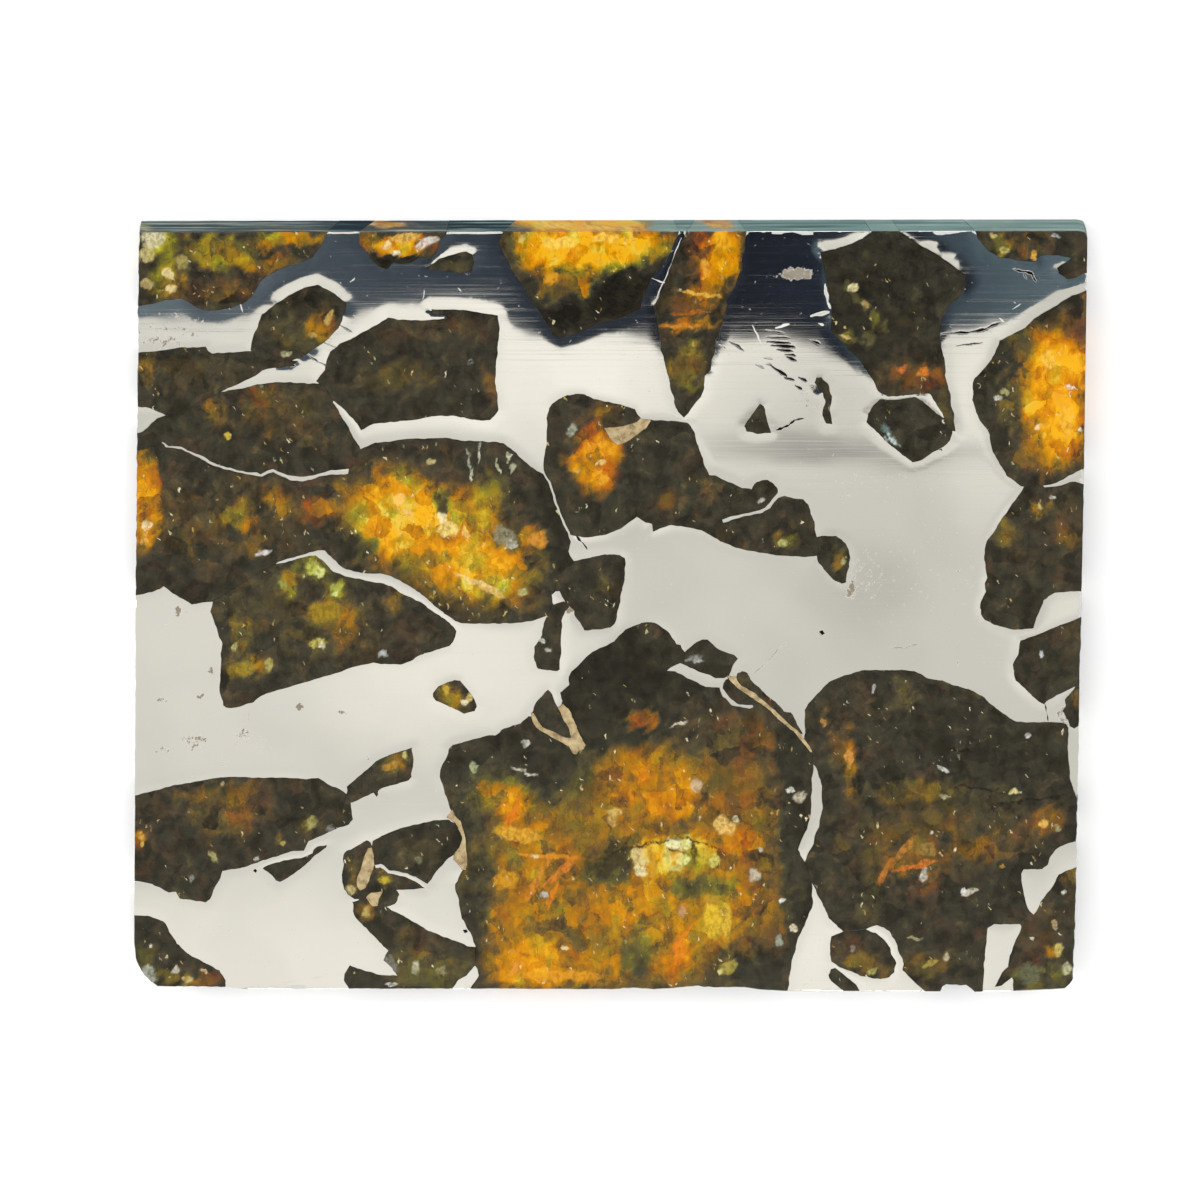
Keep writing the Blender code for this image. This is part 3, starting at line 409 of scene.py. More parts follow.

# Light inside each crystal, read from the photograph: first its spots, then its shards,
# which stand out singly. A spot is x and y of its middle, half its width and height, all in
# points, its heat (below nought darkens) and its hue, from red at 0 over gold at 0.5 to olive and
# lime at 1. A shard is the same four, then its colour as seen. Either may end with its turn in
# degrees.
# Pale shards are painted glints, bright reflections inside the crystal; the others paint coloured light or
# dark lines.
crystalGlow = {
    "olivine_top_left": (
        [(222, 253, 36, 15, 0.55, 0.8), (290, 238, 40, 9, 0.75, 0.6), (225, 290, 55, 14, 0.3, 0.3),
         (165, 278, 14, 16, 0.8, 0.75), (156, 244, 16, 16, 0.9, 0.95), (275, 262, 25, 10, 0.35, 0.4, 10),
         (250, 262, 60, 9, 0.25, 0.6, -8)],
        [(153, 239, 12, 10, (226, 218, 176), 10), (147, 255, 8, 7, (206, 190, 128), 30),
         (167, 273, 5, 5, (244, 226, 160), 10), (183, 262, 6, 8, (176, 160, 92), 20),
         (148, 285, 6, 5, (190, 168, 108)), (172, 288, 4, 4, (232, 214, 150))]),
    "olivine_top_bead": (
        [(400, 263, 36, 6, -0.8, 0.5), (402, 246, 28, 11, 1.0, 0.4), (364, 240, 10, 10, 0.45, 0.3)],
        [(387, 246, 5, 5, (250, 226, 160), 20), (428, 242, 11, 4, (236, 238, 230), 25),
         (404, 238, 14, 4, (238, 190, 90), 5), (396, 252, 4, 3, (252, 236, 190))]),
    "olivine_tear": ([(462, 262, 12, 6, 0.15, 0.7, 20)], []),
    "olivine_top_gold": (
        [(590, 248, 84, 28, 1.2, 0.5), (580, 248, 40, 18, 0.25, 0.5), (640, 250, 22, 20, 0.3, 0.3),
         (556, 288, 24, 16, 0.45, 0.45), (584, 294, 12, 14, 0.5, 0.5), (620, 292, 28, 26, -0.9, 0.5, 20),
         (508, 252, 8, 18, -0.3, 0.7), (580, 318, 60, 18, -0.7, 0.5), (655, 268, 22, 24, -0.45, 0.3),
         (545, 312, 30, 18, -0.35, 0.5), (575, 270, 30, 5, -0.25, 0.4, 10)],
        [(560, 243, 16, 6, (250, 214, 92)), (604, 238, 14, 4, (252, 208, 84), 4),
         (522, 239, 4, 3, (200, 196, 120), 30), (551, 279, 7, 6, (226, 160, 34), 30)]),
    "olivine_top_wedge": (
        [(727, 254, 19, 26, 1.0, 0.5), (706, 284, 16, 18, 0.8, 0.4), (690, 327, 30, 7, 0.7, 0.4),
         (692, 304, 26, 14, 0.4, 0.25), (690, 365, 16, 24, 0.5, 0.75), (700, 250, 14, 26, 0.35, 0.2, 15)],
        [(700, 294, 20, 2, (238, 190, 80), -8), (722, 240, 7, 9, (240, 176, 34)),
         (682, 326, 20, 2, (222, 140, 40), 2), (690, 313, 18, 1.4, (180, 100, 24), 5),
         (706, 268, 4, 8, (232, 170, 60), 10)]),
    "olivine_top_right": (
        [(848, 288, 9, 6, 0.6, 0.6), (862, 300, 12, 5, 0.6, 0.6, -40), (880, 318, 6, 12, 0.55, 0.6),
         (868, 335, 11, 6, 0.45, 0.6, 30), (842, 336, 11, 6, 0.5, 0.6, -15), (924, 376, 24, 12, 0.36, 0.25),
         (943, 408, 8, 24, 0.25, 0.75), (905, 380, 40, 24, 0.08, 0.3), (865, 270, 50, 40, -0.25, 0.5),
         (850, 325, 40, 40, -0.15, 0.5)],
        [(852, 287, 4, 4, (250, 236, 180)), (866, 303, 5, 3, (200, 170, 100), -40),
         (846, 337, 5, 2, (214, 186, 110), -20), (923, 372, 6, 4, (226, 130, 40), 10),
         (902, 370, 5, 4, (214, 120, 50)), (828, 334, 3, 2, (220, 200, 140))]),
    "olivine_small_gem": (
        [],
        [(888, 432, 10, 3, (110, 136, 130), -50), (893, 439, 9, 2, (206, 222, 214), -50),
         (886, 440, 4, 2, (160, 176, 170), -45)]),
    "olivine_corner_top_right": (
        [(998, 243, 14, 11, 0.5, 0.8), (1030, 248, 14, 10, 0.35, 0.3)],
        [(1034, 256, 4, 5, (238, 178, 60)), (994, 236, 4, 3, (206, 190, 110)),
         (1004, 250, 4, 3, (196, 180, 100)), (1055, 236, 3, 2, (190, 200, 196))]),
    "olivine_right_gold": (
        [(1056, 402, 32, 62, 1.25, 0.45, 4), (1072, 335, 16, 40, 0.3, 0.2), (1060, 425, 22, 34, 0.25, 0.55),
         (1024, 394, 14, 26, 0.4, 0.5), (1012, 402, 16, 22, 0.35, 0.8), (1040, 345, 40, 20, 0.3, 0.7, -30),
         (1030, 462, 26, 12, 0.3, 0.4, -20)],
        [(1070, 388, 4, 2, (252, 240, 220)), (1037, 427, 4, 3, (250, 226, 170)),
         (1049, 360, 5, 10, (248, 200, 70)), (1066, 420, 5, 14, (248, 190, 60), 4),
         (1081, 430, 3, 2, (246, 236, 214)), (1005, 392, 4, 4, (190, 184, 120)),
         (998, 398, 3, 2, (226, 226, 214))]),
    "olivine_left_hexagon": (
        [(324, 327, 15, 17, 0.55, 0.4, -40), (300, 335, 40, 18, 0.2, 0.7, -30)],
        [(329, 318, 3, 8, (206, 170, 90), -30), (313, 335, 4, 3, (214, 170, 80)),
         (287, 354, 4, 3, (190, 186, 140))]),
    "olivine_left_band": ([(150, 372, 14, 20, 0.35, 0.6), (190, 375, 60, 20, 0.12, 0.5)], []),
    "olivine_left_lens": (
        [(213, 412, 13, 12, 0.35, 0.55), (260, 405, 16, 24, 0.3, 0.4), (300, 420, 30, 30, 0.15, 0.5)],
        [(228, 437, 3, 3, (216, 186, 70))]),
    "olivine_upper_left": (
        [(398, 377, 34, 14, 0.28, 0.7), (491, 388, 8, 20, 0.3, 0.3), (440, 330, 50, 12, 0.14, 0.2)],
        [(470, 362, 5, 5, (44, 42, 36)), (470, 362, 3, 3, (150, 152, 146)),
         (470, 362, 1.6, 1.6, (50, 48, 40))]),
    "olivine_left_gold": (
        [(142, 498, 16, 48, 1.0, 0.4), (440, 541, 96, 50, 0.78, 0.6, -28), (472, 505, 40, 24, 0.22, 0.6),
         (395, 512, 46, 46, 0.5, 0.55, 10), (485, 572, 46, 30, 0.5, 0.65, -25),
         (490, 500, 18, 26, 0.35, 0.85), (440, 480, 26, 24, 0.1, 0.1), (440, 505, 9, 13, -1.1, 0.5),
         (504, 538, 14, 14, -0.2, 1.0), (535, 538, 14, 12, 0.6, 0.4), (280, 502, 14, 18, 0.45, 0.5),
         (240, 516, 16, 14, 0.35, 0.65), (320, 510, 22, 16, 0.5, 0.2), (235, 520, 80, 40, 0.2, 0.45),
         (355, 545, 22, 10, -0.4, 0.5), (556, 500, 16, 60, -0.5, 0.5)],
        [(146, 525, 5, 5, (250, 226, 170)), (144, 540, 3, 6, (240, 180, 70)),
         (448, 530, 10, 7, (250, 224, 130), 20), (442, 519, 5, 6, (252, 236, 180)),
         (504, 536, 11, 8, (150, 146, 116), -30), (511, 544, 5, 4, (196, 194, 176), -30),
         (478, 583, 22, 3, (244, 214, 140), -22), (492, 592, 14, 2.5, (232, 190, 110), -22),
         (480, 452, 1.5, 11, (214, 216, 190), -8), (469.5, 460, 1.4, 11, (170, 174, 150), 3),
         (472, 475, 1.5, 6, (206, 208, 180), -10), (498, 465, 1.5, 8, (196, 200, 160), 20),
         (509, 457, 1.5, 6, (206, 206, 170)), (512, 468, 1.4, 5, (180, 184, 150), -15),
         (538, 540, 9, 8, (222, 150, 50), 20), (430, 462, 4, 3, (206, 192, 130), 40),
         (399, 500, 6, 5, (250, 204, 110)), (408, 512, 5, 4, (236, 190, 110)),
         (466, 532, 3, 8, (250, 214, 120), 10), (522, 592, 5, 4, (196, 190, 120)),
         (263, 553, 8, 2, (226, 222, 214), 25), (245, 452, 3, 8, (110, 112, 110))]),
    "olivine_left_triangle": (
        [(316, 567, 20, 13, 0.42, 0.95), (337, 588, 12, 12, 0.55, 1.0), (287, 581, 10, 14, 0.5, 0.9),
         (328, 612, 28, 18, 0.36, 0.6), (246, 668, 22, 12, 0.5, 0.65), (345, 630, 12, 14, 0.3, 0.15),
         (238, 625, 8, 10, 0.4, 0.8), (395, 603, 7, 12, 0.35, 0.6), (236, 645, 8, 10, 0.4, 0.75),
         (300, 620, 90, 50, 0.12, 0.6, -10)],
        [(313, 568, 7, 6, (196, 200, 90), 10), (320, 573, 5, 4, (226, 230, 140)),
         (337, 588, 6, 5, (176, 182, 84), 30), (335, 594, 4, 3, (230, 236, 150)),
         (284, 585, 5, 5, (160, 166, 80)), (325, 612, 16, 10, (166, 138, 34), 5),
         (318, 643, 8, 4, (200, 186, 90), 10), (322, 645, 3, 3, (250, 246, 210)),
         (270, 666, 4, 6, (190, 180, 100), -20), (245, 668, 12, 6, (160, 134, 40)),
         (383, 654, 5, 3, (196, 200, 196), 10), (235, 646, 3, 5, (190, 184, 120))]),
    "olivine_bead": (
        [(455, 695, 20, 13, 0.6, 0.65, -30)],
        [(465, 703, 4, 3, (246, 236, 190), -30), (470, 698, 4, 5, (236, 214, 130), -30),
         (446, 690, 4, 5, (206, 170, 60))]),
    "olivine_centre_dark": ([(604, 590, 10, 14, 0.22, 0.75)], []),
    "olivine_peg": ([], [(543, 640, 2, 2, (230, 226, 214)), (547, 650, 1.6, 1.6, (190, 186, 170))]),
    "olivine_centre": (
        [(597, 463, 21, 32, 0.95, 0.3), (571, 463, 10, 8, 0.6, 0.5), (590, 434, 12, 14, 0.45, 0.05),
         (606, 416, 14, 10, 0.35, 0.45), (610, 480, 12, 12, 0.3, 0.2)],
        [(602, 462, 3, 3, (250, 210, 120)), (577, 470, 3, 2, (236, 180, 80)),
         (572, 430, 3, 6, (170, 172, 150), -30)]),
    "olivine_centre_tail": (
        [(672, 502, 12, 10, 0.3, 0.3), (703, 491, 12, 12, 0.3, 0.35), (782, 542, 10, 8, 0.45, 0.75)],
        [(783, 543, 4, 4, (190, 190, 110)), (762, 500, 3, 2, (214, 212, 200), 20)]),
    "olivine_tail_tip": ([(841, 555, 6, 12, 0.5, 0.85)], [(844, 563, 3, 4, (176, 178, 120))]),
    "olivine_right_middle": (
        [(1038, 506, 10, 8, 0.55, 0.6), (1006, 531, 14, 14, 0.35, 0.75), (1066, 525, 14, 28, 0.25, 0.35)],
        [(1040, 507, 3, 3, (214, 200, 120)), (1052, 498, 3, 2, (214, 210, 190))]),
    "olivine_right_small": ([(1068, 640, 14, 24, 0.15, 0.5)], [(1043, 655, 2.4, 3, (220, 222, 220))]),
    "olivine_right_chip": ([(1073, 706, 6, 12, 0.4, 0.6)], []),
    "olivine_centre_gold": (
        [(625, 868, 152, 122, 0.48, 0.5), (672, 856, 38, 17, 0.7, 0.9), (520, 950, 36, 40, 0.3, 0.5),
         (655, 780, 52, 34, 0.4, 0.35, -10), (525, 850, 42, 30, 0.2, 0.5), (640, 716, 20, 13, 0.9, 0.0, 15),
         (722, 905, 22, 46, 0.25, 0.7), (680, 948, 9, 24, 0.35, 0.1, -12),
         (508, 812, 10, 24, 0.35, 0.0, -25), (728, 842, 34, 12, 0.3, 0.1), (688, 800, 26, 8, 0.3, 0.05, 60),
         (550, 964, 62, 22, 0.5, 0.48), (665, 925, 64, 60, 0.34, 0.6), (502, 786, 32, 30, 0.45, 0.6),
         (735, 745, 46, 36, 0.2, 0.3), (715, 790, 40, 40, 0.08, 0.35), (505, 905, 30, 30, 0.2, 0.4),
         (468, 790, 24, 30, 0.18, 0.6), (620, 825, 40, 24, 0.12, 0.5), (545, 982, 60, 9, 0.25, 0.5),
         (765, 860, 34, 110, 0.2, 0.35), (620, 705, 50, 22, 0.2, 0.4), (600, 900, 60, 30, 0.1, 0.75),
         (565, 795, 26, 20, -0.1, 0.9), (610, 688, 62, 50, -0.75, 0.5), (505, 762, 50, 22, -0.3, 0.6),
         (545, 765, 36, 26, -0.35, 0.5), (802, 850, 20, 150, -0.35, 0.5, 2),
         (610, 868, 26, 16, -0.4, 0.6, 20), (700, 888, 34, 12, -0.3, 0.1), (636, 955, 18, 22, -0.35, 0.8),
         (757, 970, 22, 18, -0.2, 0.6), (470, 800, 14, 50, -0.2, 0.6, -10), (712, 760, 30, 30, -0.1, 0.2),
         (478, 900, 14, 60, -0.25, 0.5, -12)],
        [(674, 844, 11, 6, (246, 244, 190), 2), (686, 843, 6, 7, (240, 238, 160), 2),
         (668, 858, 6, 7, (226, 222, 120)), (682, 859, 7, 6, (236, 236, 150), 20),
         (640, 857, 7, 12, (222, 206, 140), 3), (641, 871, 6, 6, (236, 228, 170), 8),
         (652, 862, 3, 18, (198, 150, 40), 5), (675, 869, 9, 3, (200, 196, 110), 10),
         (706, 856, 10, 8, (196, 176, 50), -20), (714, 862, 4, 6, (226, 220, 110), -20),
         (694, 852, 3, 14, (60, 58, 24)), (676, 851, 10, 1.6, (60, 62, 30), -10),
         (632, 840, 14, 5, (96, 90, 40), 20), (610, 862, 20, 10, (62, 52, 28), 35),
         (712, 921, 9, 17, (232, 196, 50)), (727, 922, 5, 17, (222, 186, 60)),
         (713, 900, 8, 5, (190, 150, 44)), (684, 935, 12, 4, (226, 130, 20), 45),
         (678, 950, 6, 12, (226, 124, 24)), (724, 826, 12, 8, (240, 200, 110), -35),
         (696, 786, 5, 8, (216, 196, 160), 10), (614, 812, 9, 4, (222, 190, 110)),
         (612, 820, 5, 6, (206, 170, 90)), (517, 834, 22, 7, (232, 176, 50), -12),
         (545, 856, 26, 2.4, (236, 150, 30), -4), (513, 812, 4, 18, (230, 120, 24), -25),
         (538, 878, 4, 26, (222, 140, 40), -28), (560, 872, 3, 24, (220, 130, 40), -48),
         (552, 895, 3, 16, (226, 132, 20), -20), (505, 880, 12, 9, (216, 156, 30)),
         (474, 768, 4, 5, (176, 186, 140)), (545, 896, 4, 3, (200, 200, 190)),
         (535, 856, 3, 2, (246, 226, 170)), (678, 724, 9, 1.6, (236, 226, 200), 22),
         (525, 772, 12, 1.5, (226, 218, 196), -20), (527, 743, 4, 3, (206, 206, 190)),
         (800, 797, 6, 6, (206, 196, 170)), (790, 790, 3, 3, (240, 236, 220)),
         (754, 875, 5, 7, (206, 196, 170)), (783, 901, 3, 3, (246, 244, 236)),
         (793, 928, 3, 3, (240, 226, 190)), (778, 940, 3, 6, (170, 178, 156)),
         (760, 850, 3, 3, (226, 222, 206)), (736, 820, 3, 4, (220, 216, 170), 20),
         (727, 968, 10, 6, (176, 160, 70), 30), (720, 972, 4, 3, (226, 216, 140)),
         (682, 911, 3, 7, (196, 150, 110)), (565, 948, 3, 3, (246, 236, 170)),
         (515, 968, 3, 8, (236, 150, 60), -15), (560, 976, 40, 5, (226, 156, 34)),
         (640, 846, 40, 1.6, (40, 36, 20), 12), (615, 852, 26, 1.6, (44, 38, 22), 38),
         (697, 842, 22, 1.6, (50, 42, 18), -18)]),
    "olivine_centre_cap": (
        [],
        [(692, 658, 8, 2.5, (150, 152, 144), 15), (698, 661, 5, 2, (206, 208, 202), 10)]),
    "olivine_centre_sliver": ([(760, 700, 20, 8, 0.15, 0.3, -40)], []),
    "olivine_right_dark": (
        [(845, 745, 16, 24, 0.34, 0.35), (850, 770, 10, 36, 0.36, 0.35), (825, 722, 8, 8, 0.35, 0.5),
         (905, 850, 50, 24, 0.08, 0.45, 10), (930, 838, 80, 40, 0.2, 0.5, 5), (920, 790, 50, 12, 0.3, 0.7),
         (900, 862, 10, 22, 0.16, 0.2, -40), (1040, 822, 26, 14, 0.4, 0.3, 15),
         (990, 848, 40, 12, 0.25, 0.15, 5), (870, 905, 12, 24, 0.2, 0.7), (1005, 795, 14, 10, 0.2, 0.8),
         (925, 885, 22, 16, 0.25, 0.1, 30), (930, 962, 30, 12, 0.25, 0.75), (900, 695, 12, 16, 0.25, 0.75),
         (1000, 750, 60, 50, -0.1, 0.5)],
        [(924, 874, 4, 7, (216, 212, 196), -30), (944, 770, 5, 2.4, (226, 224, 210), -20),
         (970, 892, 7, 3, (206, 200, 176), 10), (964, 891, 3, 3, (240, 238, 226)),
         (1013, 792, 4, 3, (236, 222, 150)), (1019, 793, 3, 2, (226, 216, 170)),
         (1044, 823, 5, 4, (238, 190, 90)), (915, 866, 22, 3, (214, 120, 40), 12),
         (886, 870, 3, 16, (196, 120, 50), -30), (905, 848, 4, 14, (190, 130, 50), -40),
         (849, 757, 4, 9, (222, 160, 80)), (824, 722, 3, 5, (186, 140, 70)),
         (927, 850, 9, 7, (160, 128, 60), 20), (945, 797, 6, 2, (190, 180, 140)),
         (1058, 829, 3, 3, (170, 166, 120)), (1028, 736, 2.4, 2.4, (246, 244, 236)),
         (932, 833, 3, 2, (220, 216, 196)), (946, 956, 4, 4, (206, 196, 160), 20),
         (930, 964, 7, 3, (170, 150, 70), 10), (1002, 866, 3, 2, (196, 156, 60)),
         (874, 689, 1.8, 4, (196, 196, 190), 10), (915, 938, 7, 2, (170, 166, 120)),
         (977, 788, 26, 1.2, (16, 14, 10), -4), (960, 750, 12, 1.6, (16, 14, 10), -8),
         (1030, 800, 36, 1.4, (18, 16, 10), 8)]),
    "olivine_lower_lens": (
        [(866, 968, 26, 10, 0.35, 0.6, -10), (845, 950, 20, 14, 0.15, 0.3)],
        [(872, 972, 5, 3, (176, 170, 90)), (853, 949, 3, 3, (150, 140, 120))]),
    "olivine_corner_bottom_right": (
        [(1057, 952, 8, 8, 0.5, 0.6), (1070, 877, 7, 10, 0.4, 0.6), (1040, 978, 34, 12, 0.3, 0.95),
         (1045, 930, 22, 30, 0.15, 0.2)],
        [(1058, 950, 4, 6, (216, 200, 110)), (1064, 892, 3, 2, (226, 222, 200)),
         (1055, 925, 3, 4, (206, 180, 130)), (1066, 968, 5, 5, (196, 196, 150)),
         (1030, 974, 12, 10, (104, 106, 78)), (1032, 937, 2.4, 2.4, (230, 226, 200))]),
    "olivine_lower_left_band": (
        [(197, 792, 18, 10, 0.34, 0.4), (220, 812, 34, 28, 0.28, 0.5), (141, 838, 9, 16, 0.6, 0.3),
         (248, 805, 20, 24, 0.2, 0.2), (311, 824, 9, 9, 0.35, 0.7), (283, 844, 7, 5, 0.4, 0.6)],
        [(312, 823, 6, 5, (170, 164, 96)), (141, 836, 3, 5, (240, 180, 80)),
         (141, 845, 3, 3, (246, 206, 110)), (283, 843, 4, 3, (190, 176, 100)),
         (213, 857, 3, 6, (180, 172, 110), 20), (256, 858, 3, 3, (196, 196, 180)),
         (191, 878, 2, 3, (140, 148, 146)), (330, 828, 5, 3, (130, 126, 124), 20),
         (223, 783, 3, 2, (220, 196, 130))]),
    "olivine_band_tip": (
        [(394, 764, 18, 10, 0.42, 0.75, 20)],
        [(405, 755, 4, 4, (206, 200, 120)), (391, 766, 9, 4, (190, 140, 50), 15)]),
    "olivine_corner_bottom_left": (
        [(208, 978, 18, 9, 0.34, 0.25), (175, 975, 20, 8, 0.35, 0.8), (145, 958, 12, 14, 0.3, 0.8)],
        [(148, 976, 9, 9, (176, 178, 160), 40), (150, 945, 2.2, 2.2, (236, 238, 234)),
         (176, 969, 4, 4, (220, 214, 190)), (188, 979, 5, 3, (206, 190, 120)),
         (204, 972, 3, 2, (226, 196, 150))]),
    "olivine_cluster_left": (
        [(349, 888, 9, 11, 0.4, 0.6), (384, 880, 12, 9, 0.5, 0.6), (350, 870, 8, 12, 0.25, 0.8)],
        [(351, 890, 4, 5, (200, 186, 130), 20), (383, 880, 6, 4, (200, 176, 50), -20)]),
    "olivine_cluster_dark": ([(412, 850, 22, 10, 0.15, 0.6)], [(418, 860, 4, 3, (120, 118, 90))]),
    "olivine_bottom_left": (
        [(367, 911, 7, 10, 0.5, 0.55), (430, 968, 40, 20, 0.3, 0.85), (420, 935, 26, 16, 0.15, 0.3)],
        [(366, 912, 4, 5, (200, 176, 100)), (390, 964, 5, 12, (130, 128, 116), 30),
         (416, 967, 3, 6, (210, 206, 170)), (441, 970, 4, 5, (150, 140, 96)),
         (392, 984, 6, 2, (216, 210, 196))]),
}
# How mottled the dark parts of a crystal are: 0.6 where nothing is said
mottled = {
    "olivine_top_right": 0.3, "olivine_small_gem": 0.2, "olivine_fleck_triangle": 0.15,
    "olivine_fleck_long": 0.3, "olivine_upper_left": 0.45, "olivine_left_lens": 1.0,
    "olivine_left_gold": 0.9, "olivine_left_triangle": 0.9, "olivine_left_band": 0.9, "olivine_peg": 0.35,
    "olivine_centre_cap": 0.3, "olivine_centre_dark": 0.45, "olivine_right_dark": 0.8,
    "olivine_lower_left_band": 0.9, "olivine_right_middle": 0.8, "olivine_left_hexagon": 0.7,
    "olivine_tear": 0.4, "olivine_centre_tail": 0.7, "olivine_centre": 0.6, "olivine_centre_gold": 0.7,
    "olivine_corner_top_right": 1.0, "olivine_cluster_dark": 0.3, "olivine_corner_bottom_right": 0.9,
    "olivine_top_left": 0.9, "olivine_top_wedge": 0.9, "olivine_top_gold": 0.9, "olivine_right_gold": 0.9,
}
olivineLook = {
    "shader": {"Transmission Weight": 0.5, "IOR": 1.67, "Specular IOR Level": 0.06,
               "Specular Tint": (0.42, 0.38, 0.30)},
    "goldAbsorbs": {"Color": (0.93, 0.62, 0.12), "Density": 160.0},
    "darkAbsorbs": {"Color": (0.40, 0.36, 0.20), "Density": 300.0},
    "bump": (0.3, 0.00001),        # strength, and height in metres
    "shardGlintShare": 0.9,
    "sawnRough": 0.8,
}
slotOf = {row["node"]: row["material_slot"] for row in frame["record"]["subparts"]}


def makeOlivine(name, absorbs):
    look = olivineLook
    material, tree, shader, place = newMaterial(name)
    warp = useGroup(grainWarp, Place=place)
    light = parted(painted(tree, "innerLight")["Vector"])             # heat, hue and mottle
    shardGlint = painted(tree, "shardGlintTone")
    inside = useGroup(crystalInside, Place=warp["Place"], Near=warp["Near"], Hue_Noise=warp["Hue"],
                      Heat=light["X"], Hue=light["Y"], Mottle=light["Z"])
    # shards: painted glints, coloured light and dark lines laid over the inside
    strokes = noise(warp["Near"] * (1.6, 0.7, 1.0), 2.4, 1.5)
    lit = dimmed(shardGlint["Color"], remap(strokes, 0.30, 0.64, 0.62, 1.2))
    broken = remap(noise(warp["Near"], 3.6, 2.0, 0.6), 0.38, 0.56, 0.5, 1.0)
    colour = blendColour(shardGlint["Alpha"] * broken * look["shardGlintShare"], inside["Colour"], lit)
    side = useGroup(sawnSide, Place=place)
    # the painted reflection hides little of a crystal that glows
    reflectionShown = side["ReflectionMask"] * remap(light["X"], 0.75, 1.1, 0.9, 0.1)
    feed(shader.inputs["Base Color"], blendColour(reflectionShown, colour, side["PaintedReflection"]))
    rough = operate("MAXIMUM", inside["Roughness"], side["Side"] * look["sawnRough"])
    feed(shader.inputs["Roughness"], rough)
    addBump(shader, noise(place, 3.0, 2.0), *look["bump"])
    absorb = newNode(tree, "ShaderNodeVolumeAbsorption")
    for node, values in ((shader, look["shader"]), (absorb, absorbs)):
        for label, value in values.items():
            feed(node.inputs[label], value)
    feed(tree.nodes["Material Output"].inputs["Volume"], Wire(absorb.outputs["Volume"]))
    return material


